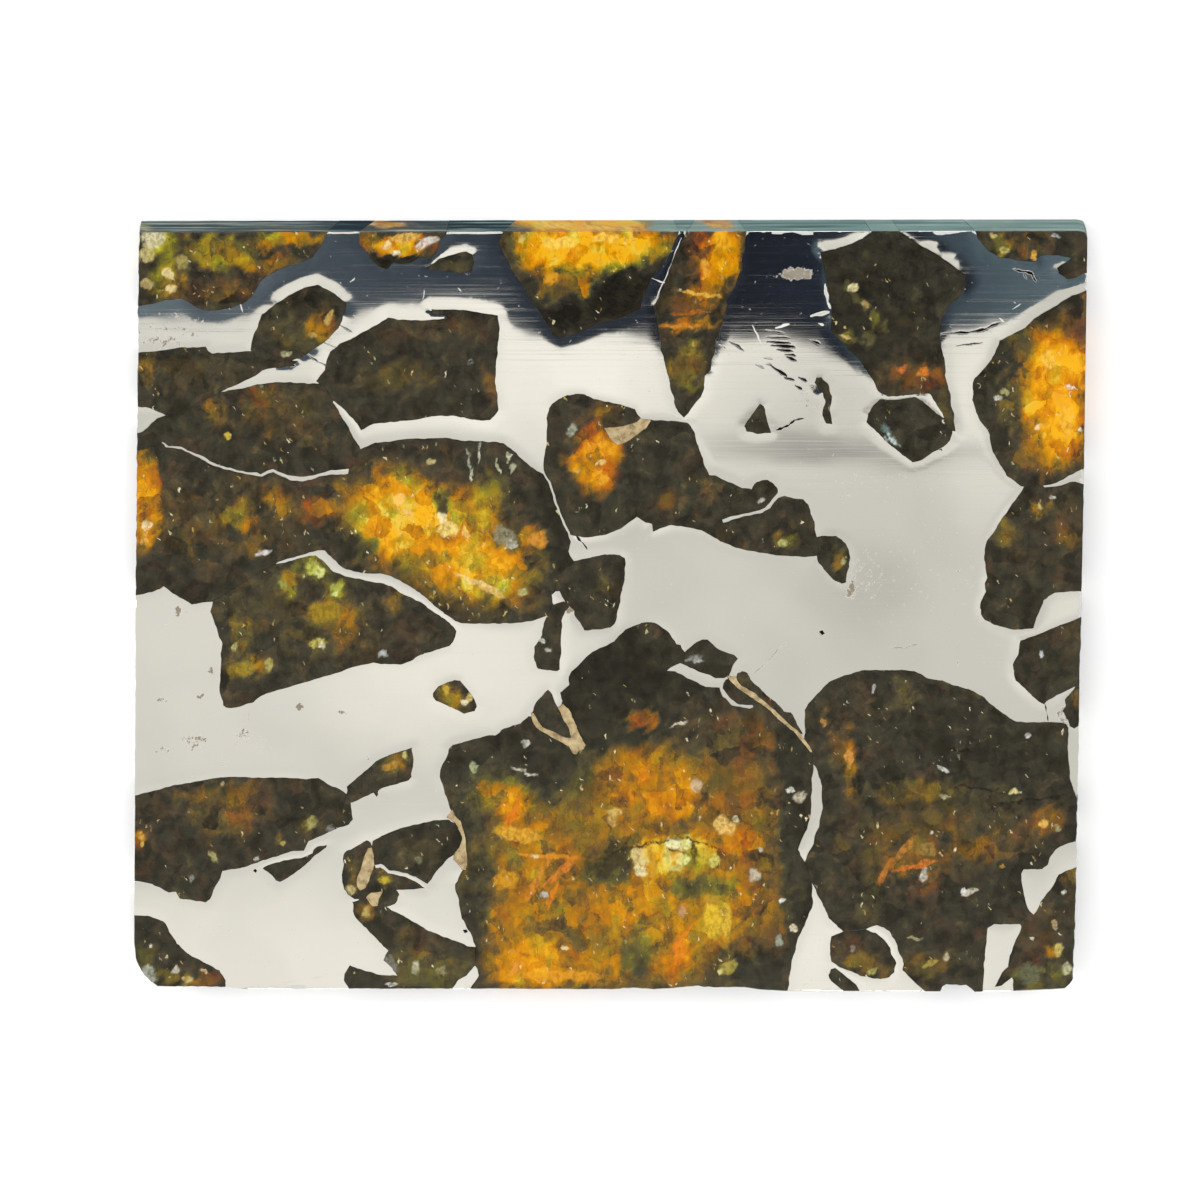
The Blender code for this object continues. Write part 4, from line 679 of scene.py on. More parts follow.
# The polished metal, and every mark on it that the photograph shows
metalLook = {
    "colour": (0.615, 0.602, 0.566),
    "rust": seen(116, 98, 58, 0.42),
    "mark": seen(30, 26, 22, 0.42),
    "gleam": seen(226, 224, 214, 0.42),
    "sideShare": 0.58,
    "sawnRough": 0.38,
    "waves": 3.0,                  # heights in thousandths of a millimetre
    "hairlines": 0.006,
    "bump": (1.0, 0.000001),       # strength, and height in metres
    # where the metal slopes down more steeply: x, y, half width, half height, times as steep
    "deepRims": [(302, 283, 50, 22, 2.2), (455, 250, 40, 22, 2.0), (425, 305, 75, 18, 1.6),
                 (912, 244, 36, 24, 3.2), (942, 260, 24, 20, 2.0), (964, 270, 24, 22, 2.3),
                 (330, 326, 26, 22, 0.1), (275, 361, 30, 10, 0.2), (846, 240, 34, 22, 5.5),
                 (1035, 330, 60, 60, 1.6), (828, 300, 12, 26, 1.6)],
    # dark scratches: from x and y to x and y, half width and darkness
    "scratches": [(766, 331, 785, 333, 0.9, 0.7), (767, 337, 789, 338, 1.0, 0.75),
                  (768, 341.6, 790, 343, 1.2, 0.95), (772, 345, 794, 347, 1.7, 1.0),
                  (778, 349.5, 792, 351, 1.3, 1.0), (785, 354.4, 796, 355.4, 1.0, 0.8),
                  (787, 356.5, 797, 360.5, 1.5, 1.0), (765, 358, 772, 359, 0.9, 0.4),
                  (756, 364, 764, 368, 1.1, 0.5), (767, 364.5, 772, 365, 1.1, 0.55),
                  (771, 366, 787, 376, 1.5, 0.95), (785, 377, 794, 379.5, 1.4, 0.95),
                  (799, 377.5, 807, 381, 1.4, 0.85), (795, 385, 802, 389.5, 1.4, 0.85),
                  (801, 391, 811, 404, 0.9, 0.25), (810, 403, 817, 409, 1.0, 0.25),
                  (811, 340, 819, 343.5, 1.3, 0.9), (776, 429.5, 783, 428, 1.5, 0.9),
                  (782, 428, 790, 425, 1.1, 0.8), (789, 425.5, 795, 420.5, 1.2, 0.8),
                  (794, 420, 804, 418.3, 1.1, 0.8), (928, 336, 952, 333, 0.9, 0.6),
                  (950, 333.5, 970, 332, 1.1, 0.9), (969, 332, 986, 329, 1.3, 0.95),
                  (984, 329, 1000, 322, 1.1, 0.8), (957, 345.5, 982, 342.5, 0.9, 0.7),
                  (730, 341, 743, 350, 1.1, 0.7), (750, 675, 767, 663, 0.7, 0.5),
                  (767, 663, 778, 648, 0.7, 0.5), (778, 648, 787, 642, 0.7, 0.4),
                  (891, 647, 905, 648, 0.8, 0.5), (905, 648, 918, 643, 0.8, 0.5),
                  (1044, 703, 1047, 712, 0.9, 0.7), (1047, 712, 1048, 722, 0.9, 0.7),
                  (1013, 269, 1024, 272, 1.0, 0.9), (1023, 271, 1034, 274, 1.2, 0.9),
                  (1032, 272, 1036, 282, 1.0, 0.8), (1023, 271, 1027, 279, 0.8, 0.7),
                  (268, 362, 295, 366, 1.5, 1.0), (340, 325, 352, 332, 0.9, 0.6),
                  (322, 341, 338, 349, 0.8, 0.5), (576, 536, 581, 541, 1.4, 0.9),
                  (581, 541, 587, 549, 1.0, 0.8), (820, 632, 824, 633, 2.6, 1.0),
                  (254, 871, 257, 871, 2.2, 1.0), (464, 930, 467, 932, 2.0, 1.0),
                  (304, 352, 318, 362, 0.9, 0.7), (318, 362, 330, 366, 0.9, 0.6),
                  (376, 793, 378, 795, 1.8, 0.9), (250, 708, 247, 722, 0.6, 0.35),
                  (247, 722, 236, 746, 0.6, 0.35), (180, 288, 240, 302, 0.6, 0.3)],
    # painted highlights, thin bright lines in the dark reflection and along the face's upper edge: the same,
    # half width and brightness
    "gleams": [(752, 325, 762, 345, 0.6, 0.9), (776, 328, 789, 324, 1.5, 0.6),
               (811, 316, 829, 312, 2.1, 1.0), (818, 324, 823, 325, 1.1, 0.8),
               (825, 284, 828, 300, 1.5, 1.0), (827, 300, 830, 308, 1.0, 0.8),
               (241, 294, 242, 312, 0.5, 0.7), (350, 282, 355, 278, 0.5, 0.4),
               (422, 300, 424, 290, 0.45, 0.4), (652, 278, 666, 283, 0.6, 0.5),
               (681, 238, 672, 262, 0.5, 0.6), (672, 262, 656, 298, 0.45, 0.5),
               (458, 288, 461, 291, 0.7, 0.4), (1000, 318, 1004, 322, 0.9, 0.5),
               (1012, 309, 1020, 304, 0.6, 0.35), (787, 272, 808, 275, 4.5, 0.1),
               (318, 233, 358, 233, 0.9, 0.9), (428, 233, 506, 233, 0.9, 0.9)],
    # rust: x, y, half width, half height, strength
    "stains": [(194, 742, 15, 8, 0.7), (162, 750, 7, 4, 0.7), (243, 734, 9, 8, 0.6), (224, 763, 5, 6, 0.55),
               (211, 670, 4, 4, 0.9), (341, 713, 5, 3, 0.8), (178, 611, 3, 6, 0.8), (130, 667, 3, 3, 0.8),
               (261, 747, 8, 8, 0.45), (162, 700, 6, 3, 0.9), (200, 696, 4, 4, 0.85), (300, 707, 6, 4, 0.9),
               (175, 330, 34, 14, 0.4), (160, 345, 20, 8, 0.4), (797, 274, 15, 6, 1.2),
               (570, 610, 6, 5, 0.8), (862, 575, 24, 24, 0.33), (850, 590, 5, 8, 0.8),
               (955, 667, 5, 5, 0.4), (1015, 692, 4, 3, 0.5), (848, 495, 10, 3, 0.4),
               (880, 480, 120, 10, 0.18), (940, 560, 60, 60, 0.15), (1068, 715, 12, 10, 0.8),
               (227, 929, 18, 9, 0.2), (812, 398, 10, 14, 0.35), (205, 600, 40, 20, 0.2),
               (366, 758, 5, 3, 0.5)],
}


def makeMetal():
    look = metalLook
    material, tree, shader, place = newMaterial("polished_nickel_iron")
    side = useGroup(sawnSide, Place=place)
    # values on the corners: rust stain, scratch and painted highlight
    wearAndGleam = parted(painted(tree, "surfaceWearAndGleam")["Vector"])             # stain, scratch and gleam
    lines = noise(place * (0.07, 8.0, 1.0), 1.0, 3.0, 0.75)
    thin = noise(place * (0.05, 15.0, 1.0), 1.0, 2.0, 0.6)
    swell = noise(place, 0.16, 1.0)
    speck = noise(place, 2.4, 4.0, 0.75)
    rust = remap(wearAndGleam["X"] * 0.38 + (speck - 0.70), 0.0, 0.11, 0.0, 0.85) * (1.0 - side["Side"])
    mark = operate("MULTIPLY", wearAndGleam["Y"], remap(speck, 0.3, 0.5, 1.1, 1.5), clamp=True)
    colour = blendColour(rust, look["colour"], look["rust"])
    colour = dimmed(colour, remap(swell, 0.35, 0.65, 0.96, 1.02))
    colour = blendColour(mark, colour, look["mark"])
    # painted highlight: bright lines laid into the metal's colour
    colour = blendColour(wearAndGleam["Z"], colour, look["gleam"])
    # painted teal reflection on the sawn side, over the metal's colour
    colour = blendColour(side["ReflectionMask"], colour, dimmed(side["PaintedReflection"], look["sideShare"]))
    sawn = dimmed(colour, remap(side["Streaks"], 0.3, 0.7, 0.55, 1.0))
    feed(shader.inputs["Base Color"], blendColour(side["Side"], colour, sawn))
    hairline = operate("MAXIMUM", remap(lines, 0.50, 0.85, 0.020, 0.075), remap(thin, 0.62, 0.80, 0.0, 0.08))
    stainScratchOrGleam = operate("MAXIMUM", operate("MAXIMUM", rust, mark), wearAndGleam["Z"])
    rough = operate("MAXIMUM", hairline + stainScratchOrGleam * 0.2, side["Side"] * look["sawnRough"])
    feed(shader.inputs["Roughness"], rough)
    # marks, painted highlights and the painted reflection on the sawn side aren't metal
    dull = operate("MAXIMUM", operate("MULTIPLY", stainScratchOrGleam, 1.7, clamp=True),
                   side["ReflectionMask"] * (1.0 - sideLook["metalness"]))
    feed(shader.inputs["Metallic"], 1.0 - dull)
    feed(shader.inputs["Specular IOR Level"], 0.0)
    addBump(shader, noise(place, 0.22, 1.0) * look["waves"] + lines * look["hairlines"], *look["bump"])
    return material


tanLook = {
    "tones": [(0.3, seen(112, 96, 66)), (0.5, seen(146, 127, 92)), (0.7, seen(164, 147, 110))],
    "metallic": 0.35,
    "reflectionShare": 0.8,
    "rough": (0.22, 0.42),
}


def makeSchreibersite():
    look = tanLook
    material, tree, shader, place = newMaterial("tan_schreibersite")
    mottle = noise(place, 1.7, 4.0, 0.65)
    side = useGroup(sawnSide, Place=place)
    # painted teal reflection on the sawn side, over the tan
    colour = blendColour(side["ReflectionMask"] * look["reflectionShare"], ramp(mottle, look["tones"]), side["PaintedReflection"])
    feed(shader.inputs["Base Color"], colour)
    feed(shader.inputs["Metallic"], look["metallic"])
    feed(shader.inputs["Roughness"], remap(mottle, 0.3, 0.7, *look["rough"]))
    return material


# The pieces: each is a finer copy of its CAD node, with ragged grain borders, worn rims and marked metal.
# Lengths are in millimetres.
pieceShape = {
    "coarse": 0.90,                # longest edge, away from anything drawn
    "glow": 0.25,                  # longest edge in a crystal's face and below it, and in a shard
    "glowBelow": 0.55,
    "shardGlint": 0.10,
    "rim": 0.195,                  # and in the metal: near a crystal, in a deep rim, underneath, at a scratch
    "deepRim": 0.12,
    "lower": 0.45,
    "scratch": 0.040,
    "growth": 0.6,                 # how fast the edges grow with the distance from there
    "rimReach": 0.75,              # how far the metal slopes down towards a crystal
    "rimDrop": 0.0034,
    "crystalReach": 0.2,
    "crystalDrop": 0.004,
    "ragged": 0.070,
    "worn": 0.065,
    "closer": 0.013,               # how far each grain reaches out over its half of the gap
    "scratchDepth": 0.0015,
    "merge": 0.0005,
    "smoothBelow": math.radians(20.0),
}
skin = 0.01                        # a corner this near to one of the slab's faces lies on it
bySide = 0.3                       # and this near to the slab's outline, on a sawn side


def fieldAt(places, frequency, seed, waves=14):
    # a smooth vector field of crossed waves, the same for whatever lies at the same place
    pick = np.random.default_rng(seed)
    runs = pick.normal(size=(waves, 3)) * frequency * 3.0
    starts = pick.uniform(0.0, 2.0 * math.pi, waves)
    pulls = pick.normal(size=(waves, 3))
    return np.sin(places @ runs.T + starts) @ pulls * 0.14


def leaning(places):
    # the lean that the shader gives to whatever is drawn inside a crystal
    below = top - places[:, 2]
    shrunk = places[:, :2] * (1.0 - below * grainLook["inward"])[:, None]
    return shrunk + np.outer(below, (grainLook["aside"], 0.0))


def spotShare(places, x, y, width, height, soft=0.5, turn=0.0):
    # how much of a soft ellipse lies at each place, and where each lies along and across it
    angle = math.radians(turn)
    offset = places - np.array(onFace(x, y))
    along = (offset[:, 0] * math.cos(angle) + offset[:, 1] * math.sin(angle)) / (width * pointSize)
    across = (offset[:, 1] * math.cos(angle) - offset[:, 0] * math.sin(angle)) / (height * pointSize)
    step = np.clip((1.0 + soft - np.hypot(along, across)) / (2.0 * soft), 0.0, 1.0)
    return step * step * (3.0 - 2.0 * step), along, across


def scratchShare(places, fromX, fromY, toX, toY, width):
    # 1 in the middle of a scratch, which is thin at both ends, and 0 beside it;
    # and how far away each place is
    start, end = np.array(onFace(fromX, fromY)), np.array(onFace(toX, toY))
    share = np.clip(((places - start) @ (end - start)) / ((end - start) @ (end - start)), 0.0, 1.0)
    distance = np.linalg.norm(places - start - np.outer(share, end - start), axis=1)
    half = width * pointSize * (0.35 + 0.65 * np.sin(math.pi * share ** 1.5))
    return np.clip((1.25 - distance / half) / 0.5, 0.0, 1.0), distance


def vectorsOf(items, name):
    found = np.empty(len(items) * 3)
    items.foreach_get(name, found)
    return found.reshape(-1, 3)


def cornersOf(mesh):
    return vectorsOf(mesh.vertices, "co") * mm


def edgeEnds(mesh):
    ends = np.empty(len(mesh.edges) * 2, dtype=np.int32)
    mesh.edges.foreach_get("vertices", ends)
    return ends[0::2], ends[1::2]


def onTop(places, within=skin):
    return places[:, 2] > top - within


def onFaces(places):
    return (places[:, 2] < skin) | onTop(places)


def slabRim(places):
    # distance to the slab's sawn sides, roughly
    low, high = cadLow * mm, cadHigh * mm
    return np.minimum.reduce([places[:, 0] - low.x, high.x - places[:, 0], places[:, 1] - low.y,
                              high.y - places[:, 1]])


def openWithEdges(mesh, chosen):
    # edit mode, with only these edges selected
    for items in (mesh.vertices, mesh.polygons):
        items.foreach_set("select", np.zeros(len(items), dtype=bool))
    mesh.edges.foreach_set("select", chosen)
    bpy.ops.object.mode_set(mode="EDIT")


def closeAsTriangles():
    bpy.ops.mesh.select_all(action="SELECT")
    bpy.ops.mesh.quads_convert_to_tris(quad_method="BEAUTY", ngon_method="BEAUTY")
    bpy.ops.object.mode_set(mode="OBJECT")


def splitLongEdges(piece, longest, rounds=10):
    # halves every edge that is longer than wanted where it lies, until none is left
    mesh = piece.data
    for step in range(rounds):
        places = cornersOf(mesh)
        first, second = (places[ends] for ends in edgeEnds(mesh))
        chosen = np.linalg.norm(first - second, axis=1) > 1.35 * longest((first + second) / 2.0)
        if not chosen.any():
            break
        openWithEdges(mesh, chosen)
        bpy.ops.mesh.subdivide(number_cuts=1)
        closeAsTriangles()


def mergedCopy(name):
    piece = bpy.data.objects.new(name + "_polished", frame["nodes"][name].data.copy())
    bpy.context.scene.collection.objects.link(piece)
    bpy.ops.object.select_all(action="DESELECT")
    bpy.context.view_layer.objects.active = piece
    piece.select_set(True)
    if piece.data.has_custom_normals:
        bpy.ops.mesh.customdata_custom_splitnormals_clear()
    bpy.ops.object.mode_set(mode="EDIT")
    bpy.ops.mesh.select_all(action="SELECT")
    bpy.ops.mesh.remove_doubles(threshold=pieceShape["merge"] / mm)
    bpy.ops.mesh.beautify_fill(angle_limit=math.radians(1.0))
    bpy.ops.object.mode_set(mode="OBJECT")
    wearCorners(piece)
    return piece


def wearCorners(piece):
    # rounds the slab's long corners, where the sawn sides meet the two faces: edges with one flat face of the
    # slab and one sawn side beside them
    mesh = piece.data
    places = cornersOf(mesh)
    onRim = onFaces(places) & (slabRim(places) < bySide)
    beside = np.zeros((len(mesh.edges), 2), dtype=int)
    numbers = {tuple(sorted(edge.vertices)): edge.index for edge in mesh.edges}
    for face in mesh.polygons:
        upright = abs(face.normal.z) < 0.5
        if upright and slabRim(places[list(face.vertices)]).max() >= bySide:
            continue
        for key in face.edge_keys:
            beside[numbers[tuple(sorted(key))], int(upright)] += 1
    first, second = edgeEnds(mesh)
    chosen = onRim[first] & onRim[second] & (beside == 1).all(axis=1)
    if chosen.any():
        openWithEdges(mesh, chosen)
        bpy.ops.mesh.bevel(offset=pieceShape["worn"] / mm, segments=2, affect="EDGES", clamp_overlap=True)
        closeAsTriangles()


def flatTree(places):
    tree = kdtree.KDTree(len(places))
    for index, place in enumerate(places):
        tree.insert((place[0], place[1], 0.0), index)
    tree.balance()
    return tree


def nearest(tree, places):
    return np.array([tree.find((x, y, 0.0))[2] for x, y in places[:, :2]])


def grainBorders(step=0.1):
    # points along every crystal's and tan grain's outline on the polished face,
    # and the edge that each lies on
    found, edges = [], []
    for name, node in frame["nodes"].items():
        if name.startswith("metal"):
            continue
        places = cornersOf(node.data)
        for face in node.data.polygons:
            corners = places[list(face.vertices)]
            upper = onTop(corners)
            if upper.sum() != 2:
                continue                                   # a wall has two corners on the face, or one
            first, second = corners[upper]
            steps = max(1, int(np.linalg.norm(first - second) / step))
            for part in range(steps + 1):
                found.append(first + (second - first) * (part / steps))
                edges.append((first[:2], second[:2]))
    found, edges = np.array(found), np.array(edges)
    inside = slabRim(found) > 0.25
    return flatTree(found[inside]), edges[inside]


class FaceMap:
    # values over the face, kept on a grid
    step = 0.1
    margin = 1.0
    highest = 9.0

    def __init__(self):
        low, high = (np.array((corner.x, corner.y)) * mm for corner in (cadLow, cadHigh))
        self.start = low - self.margin
        self.size = np.ceil((high + self.margin - self.start) / self.step).astype(int) + 1
        self.values = np.full(self.size, self.highest)

    def centres(self):
        across, up = np.meshgrid(np.arange(self.size[0]), np.arange(self.size[1]), indexing="ij")
        return np.stack((across, up), -1) * self.step + self.start

    def at(self, places):
        spot = np.clip((places[:, :2] - self.start) / self.step, 0.0, self.size - 1.001)
        column, row = spot.astype(int).T
        across, up = (spot - spot.astype(int)).T
        low = self.values[column, row] * (1 - across) + self.values[column + 1, row] * across
        high = self.values[column, row + 1] * (1 - across) + self.values[column + 1, row + 1] * across
        return low * (1 - up) + high * up


def mapBorders(tree):
    found = FaceMap()
    found.values = nearest(tree, found.centres().reshape(-1, 2)).reshape(found.size)
    return found


def mapMarks():
    # how fine the metal's mesh is wanted: finest along a scratch or a painted highlight, and fine in a small
    # stain
    found = FaceMap()
    places = found.centres()
    flat = places.reshape(-1, 2)
    for x, y, width, height, strength in metalLook["stains"]:
        along, across = spotShare(flat, x, y, width, height)[1:]
        least = min(width, height) * pointSize
        beyond = (np.hypot(along, across) - 1.2).clip(0.0) * least
        wanted = np.maximum(0.3 * least, 0.12) + beyond * pieceShape["growth"]
        found.values = np.minimum(found.values, wanted.reshape(found.size))
    for scratch in metalLook["scratches"] + metalLook["gleams"]:
        ends = np.array((onFace(*scratch[0:2]), onFace(*scratch[2:4])))
        low = ((ends.min(0) - 1.5 - found.start) / found.step).astype(int)
        high = ((ends.max(0) + 1.5 - found.start) / found.step).astype(int)
        part = places[low[0]:high[0], low[1]:high[1]]
        distance = scratchShare(part.reshape(-1, 2), *scratch[:5])[1].reshape(part.shape[:2])
        window = found.values[low[0]:high[0], low[1]:high[1]]
        wanted = pieceShape["scratch"] + (distance - 0.12).clip(0.0) * pieceShape["growth"]
        np.minimum(window, wanted, out=window)
    return found


borderTree, borderEdges = grainBorders()
borders = mapBorders(borderTree)
marks = mapMarks()
print("grain borders read")


def outlineDistance(piece, places):
    # distance to the piece's own outline: corners that lie where a wall meets the face
    upright = np.abs(vectorsOf(piece.data.polygons, "normal")[:, 2]) < 0.5
    onWall = {corner for face, wall in zip(piece.data.polygons, upright) if wall for corner in face.vertices}
    return nearest(flatTree(places[sorted(onWall)]), places)


def borderDistance(places, moves):
    # distance of the moved places to the nearest grain border, which moves with them
    far = borders.at(places + moves)
    for index in np.flatnonzero((far < 0.5) & onTop(places)):
        place = places[index, :2]
        closest = borderTree.find_n((place[0], place[1], 0.0), 4)
        edges = borderEdges[[found[1] for found in closest]]
        runs = edges[:, 1] - edges[:, 0]
        shares = ((place - edges[:, 0]) * runs).sum(1) / np.maximum((runs ** 2).sum(1), 1e-9)
        away = place - edges[:, 0] - runs * shares.clip(0.0, 1.0)[:, None]
        lengths = np.linalg.norm(away, axis=1)
        least = lengths.argmin()
        far[index] = lengths[least] + away[least] @ moves[index, :2] / max(lengths[least], 1e-6)
    return far


def raggedMoves(places):
    # ragged borders, the same for both grains at one; sawn rims only a little
    broad, fine = fieldAt(places, 1.3, 1), fieldAt(places, 4.2, 2)
    calm = np.clip(slabRim(places) / 0.4, 0.12, 1.0)[:, None]
    moves = (broad * 0.9 + fine * 0.55) * pieceShape["ragged"] * calm
    moves[:, 2] = np.where(onFaces(places), 0.0, moves[:, 2] * 0.4)
    return moves


def roughen(piece, places, moves, drop):
    # moves the corners, lowers the faces by the drop and lets the walls close their half of the gap
    outward = np.where(places[:, 2] > top / 2, 1.0, -1.0)
    moves[:, 2] -= np.where(onFaces(places), outward * drop, 0.0)
    level = vectorsOf(piece.data.vertices, "normal")[:, :2]
    length = np.linalg.norm(level, axis=1)
    sideways = length > 0.3
    moves[sideways, :2] += level[sideways] / length[sideways, None] * pieceShape["closer"]
    piece.data.vertices.foreach_set("co", ((places + moves) / mm).ravel())
    piece.data.update()


def paint(piece, name, kind, values):
    attribute = piece.data.attributes.new(name, kind, "POINT")
    channel = "color" if kind == "FLOAT_COLOR" else "vector"
    attribute.data.foreach_set(channel, values.astype(np.float32).ravel())


def finishPiece(piece, name, material):
    piece.data.materials.clear()
    piece.data.materials.append(material)
    bpy.ops.object.shade_smooth_by_angle(angle=pieceShape["smoothBelow"])
    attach(piece, "root")
    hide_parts(name)


def makeGrainPiece(name, material):
    # an olivine crystal with its light inside, or a tan grain, which has none
    look = pieceShape
    spots, shardsAndGlints = crystalGlow.get(name, ([], []))
    piece = mergedCopy(name)

    def longest(places):
        upper = onTop(places, 0.05)
        wanted = np.where(upper, look["glow"], look["glowBelow"])
        shown = np.flatnonzero(upper)
        for x, y, width, height, tone, *turn in shardsAndGlints:
            along, across = spotShare(places[shown, :2], x, y, width, height, 0.5, *turn)[1:]
            beyond = (np.maximum(np.abs(along), np.abs(across)) - 1.3) * min(width, height) * pointSize
            wanted[shown] = np.minimum(wanted[shown], np.maximum(look["shardGlint"], beyond * look["growth"]))
        return wanted

    splitLongEdges(piece, longest)
    places = cornersOf(piece.data)
    broad, fine = fieldAt(places, 0.7, 3), fieldAt(places, 2.6, 4)
    flat = leaning(places)
    warped = flat + (broad * grainLook["broad"] * 0.55 + fine * grainLook["fine"] * 0.7)[:, :2]
    near = flat + fine[:, :2] * grainLook["fine"] * 0.45
    light = np.zeros((len(places), 3))
    light[:, 2] = mottled.get(name, 0.6)
    for x, y, width, height, heat, hue, *turn in spots:
        share = spotShare(warped, x, y, width, height, 0.45, *turn)[0] * heat
        light[:, 0] += share
        light[:, 1] += np.maximum(share, 0.0) * hue
    tones = np.zeros((len(places), 4))
    for x, y, width, height, tone, *turn in shardsAndGlints:
        along, across = np.abs(spotShare(near, x, y, width, height, 0.5, *turn)[1:])
        shape = np.maximum(np.maximum(along, across), (along + across) * 0.68)
        share = np.clip((1.18 - shape) / 0.36, 0.0, 1.0)
        before, colour = tones[:, :3], np.array(seen(*tone))
        tones[:, :3] = np.where(tones[:, 3:] < 0.01, colour, before + (colour - before) * share[:, None])
        tones[:, 3] = np.maximum(tones[:, 3], share)
    paint(piece, "innerLight", "FLOAT_VECTOR", light)
    paint(piece, "shardGlintTone", "FLOAT_COLOR", tones)
    nearRim = np.clip(1.0 - outlineDistance(piece, places) / look["crystalReach"], 0.0, 1.0)
    roughen(piece, places, raggedMoves(places), look["crystalDrop"] * nearRim)
    finishPiece(piece, name, material)


def makeMetalPiece(name, material):
    look = pieceShape
    piece = mergedCopy(name)

    def longest(places):
        upper, lower = onTop(places, 0.05), places[:, 2] < 0.05
        beyond = np.clip(borders.at(places) - look["rimReach"], 0.0, FaceMap.highest) * look["growth"]
        wanted = np.minimum(look["coarse"], look["rim"] + beyond)
        for x, y, width, height, times in metalLook["deepRims"]:
            share = spotShare(places[:, :2], x, y, width, height, 0.3)[0]
            near = share * np.clip(times - 1.5, 0.0, 1.0) > 0.2
            wanted[near] = np.minimum(wanted[near], look["deepRim"] + beyond[near])
        wanted[lower] = np.maximum(wanted[lower], look["lower"])
        wanted[~lower & ~upper] = look["coarse"]
        return np.where(upper, np.minimum(wanted, marks.at(places)), wanted)

    splitLongEdges(piece, longest, 12)
    places = cornersOf(piece.data)
    wearAndGleam = np.zeros((len(places), 3))
    for x, y, width, height, strength in metalLook["stains"]:
        wearAndGleam[:, 0] += spotShare(places[:, :2], x, y, width, height, 0.7)[0] * strength
    # scratches, and the painted highlights in the third channel
    for channel, kind in ((1, "scratches"), (2, "gleams")):
        for *line, strength in metalLook[kind]:
            wearAndGleam[:, channel] = np.maximum(wearAndGleam[:, channel], scratchShare(places[:, :2], *line)[0] * strength)
    wearAndGleam *= onTop(places)[:, None]
    paint(piece, "surfaceWearAndGleam", "FLOAT_VECTOR", wearAndGleam)
    steep = np.ones(len(places))
    for x, y, width, height, times in metalLook["deepRims"]:
        steep += spotShare(places[:, :2], x, y, width, height, 0.3)[0] * (times - 1.0)
    moves = raggedMoves(places)
    slope = np.clip(1.0 - borderDistance(places, moves) / (look["rimReach"] * (0.7 + 0.3 * steep)), 0.0, 1.05)
    vary = 1.0 + 0.7 * fieldAt(places, 0.35, 5)[:, 0] / steep ** 1.5
    drop = look["rimDrop"] * slope ** 2 * vary * steep + look["scratchDepth"] * wearAndGleam[:, 1]
    roughen(piece, places, moves, drop)
    finishPiece(piece, name, material)


def makePieces():
    golden = makeOlivine("golden_olivine_glass", olivineLook["goldAbsorbs"])
    dark = makeOlivine("dark_olivine_glass", olivineLook["darkAbsorbs"])
    metal, tan = makeMetal(), makeSchreibersite()
    bpy.context.scene.tool_settings.mesh_select_mode = (False, True, False)
    for name in frame["nodes"]:
        if name.startswith("metal"):
            makeMetalPiece(name, metal)
        elif name.startswith("schreibersite"):
            makeGrainPiece(name, tan)
        else:
            makeGrainPiece(name, golden if slotOf[name] == "golden_olivine" else dark)
    sizes = {piece.name: len(piece.data.polygons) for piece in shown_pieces()}
    print("pieces made:", len(sizes), "with", sum(sizes.values()), "triangles, the largest",
          max(sizes.values()))


makePieces()

# The table, the light and what the polished metal reflects
studio = {
    "floorSize": 6.0,
    "floorDrop": 0.00005,
    "floor": (0.72, 0.72, 0.72),
    "world": 0.72,
    "panels": (0.48, 1.25),        # how dark and how bright the room is where polished metal mirrors it
    "shadedShare": 0.6,            # how much darker it is there, low towards +Y
    "overhead": 1.2,
    "lampSize": 1.2,
    "lamps": {"lampLeft": ((-1.4, 0.3, 1.3), 28.0), "lampRight": ((1.4, 0.5, 1.2), 21.0),
              "lampFront": ((0.1, -1.6, 1.2), 21.0), "lampBack": ((-0.2, 1.6, 1.3), 21.0)},
}
# The board overhead that the metal mirrors, laid out in points of the photograph
board = {
    "height": 0.4,
    "topLeft": (0.0, 100.0),
    "size": (1200.0, 1000.0),
    "tint": (1.0, 0.985, 0.925),
    "level": 0.96,
    # brighter and darker parts: x, y, half width, half height, what is added
    "parts": [(600, 360, 290, 90, 0.5), (500, 990, 700, 130, 0.36), (250, 650, 260, 150, 0.16),
              (470, 660, 130, 90, 0.26), (765, 441, 90, 13, -0.32), (900, 449, 110, 13, -0.34),
              (775, 395, 100, 45, -0.27), (985, 400, 50, 110, 0.24), (180, 330, 90, 30, 0.12),
              (1075, 610, 60, 60, 0.25), (815, 950, 60, 60, 0.1), (720, 600, 60, 60, 0.06),
              (862, 585, 50, 36, -0.14)],
    # the lower border of the dark band, and the band's colours from left to right
    "border": [(0, 316), (130, 312), (240, 316), (350, 312), (385, 309), (480, 309), (520, 327), (580, 332),
               (640, 335), (740, 337), (780, 333), (815, 346), (860, 355), (900, 338), (950, 328),
               (1000, 322), (1045, 305), (1090, 282), (1200, 230)],
    "band": [(0.10, seen(104, 118, 126)), (0.22, seen(76, 86, 96)), (0.40, seen(54, 62, 73)),
             (0.60, seen(32, 35, 44)), (0.72, seen(36, 43, 54)), (0.80, seen(68, 82, 92)),
             (0.90, seen(92, 110, 120))],
    "streaks": 0.012,              # how far the brushed streaks move that border, as a share of the height
}


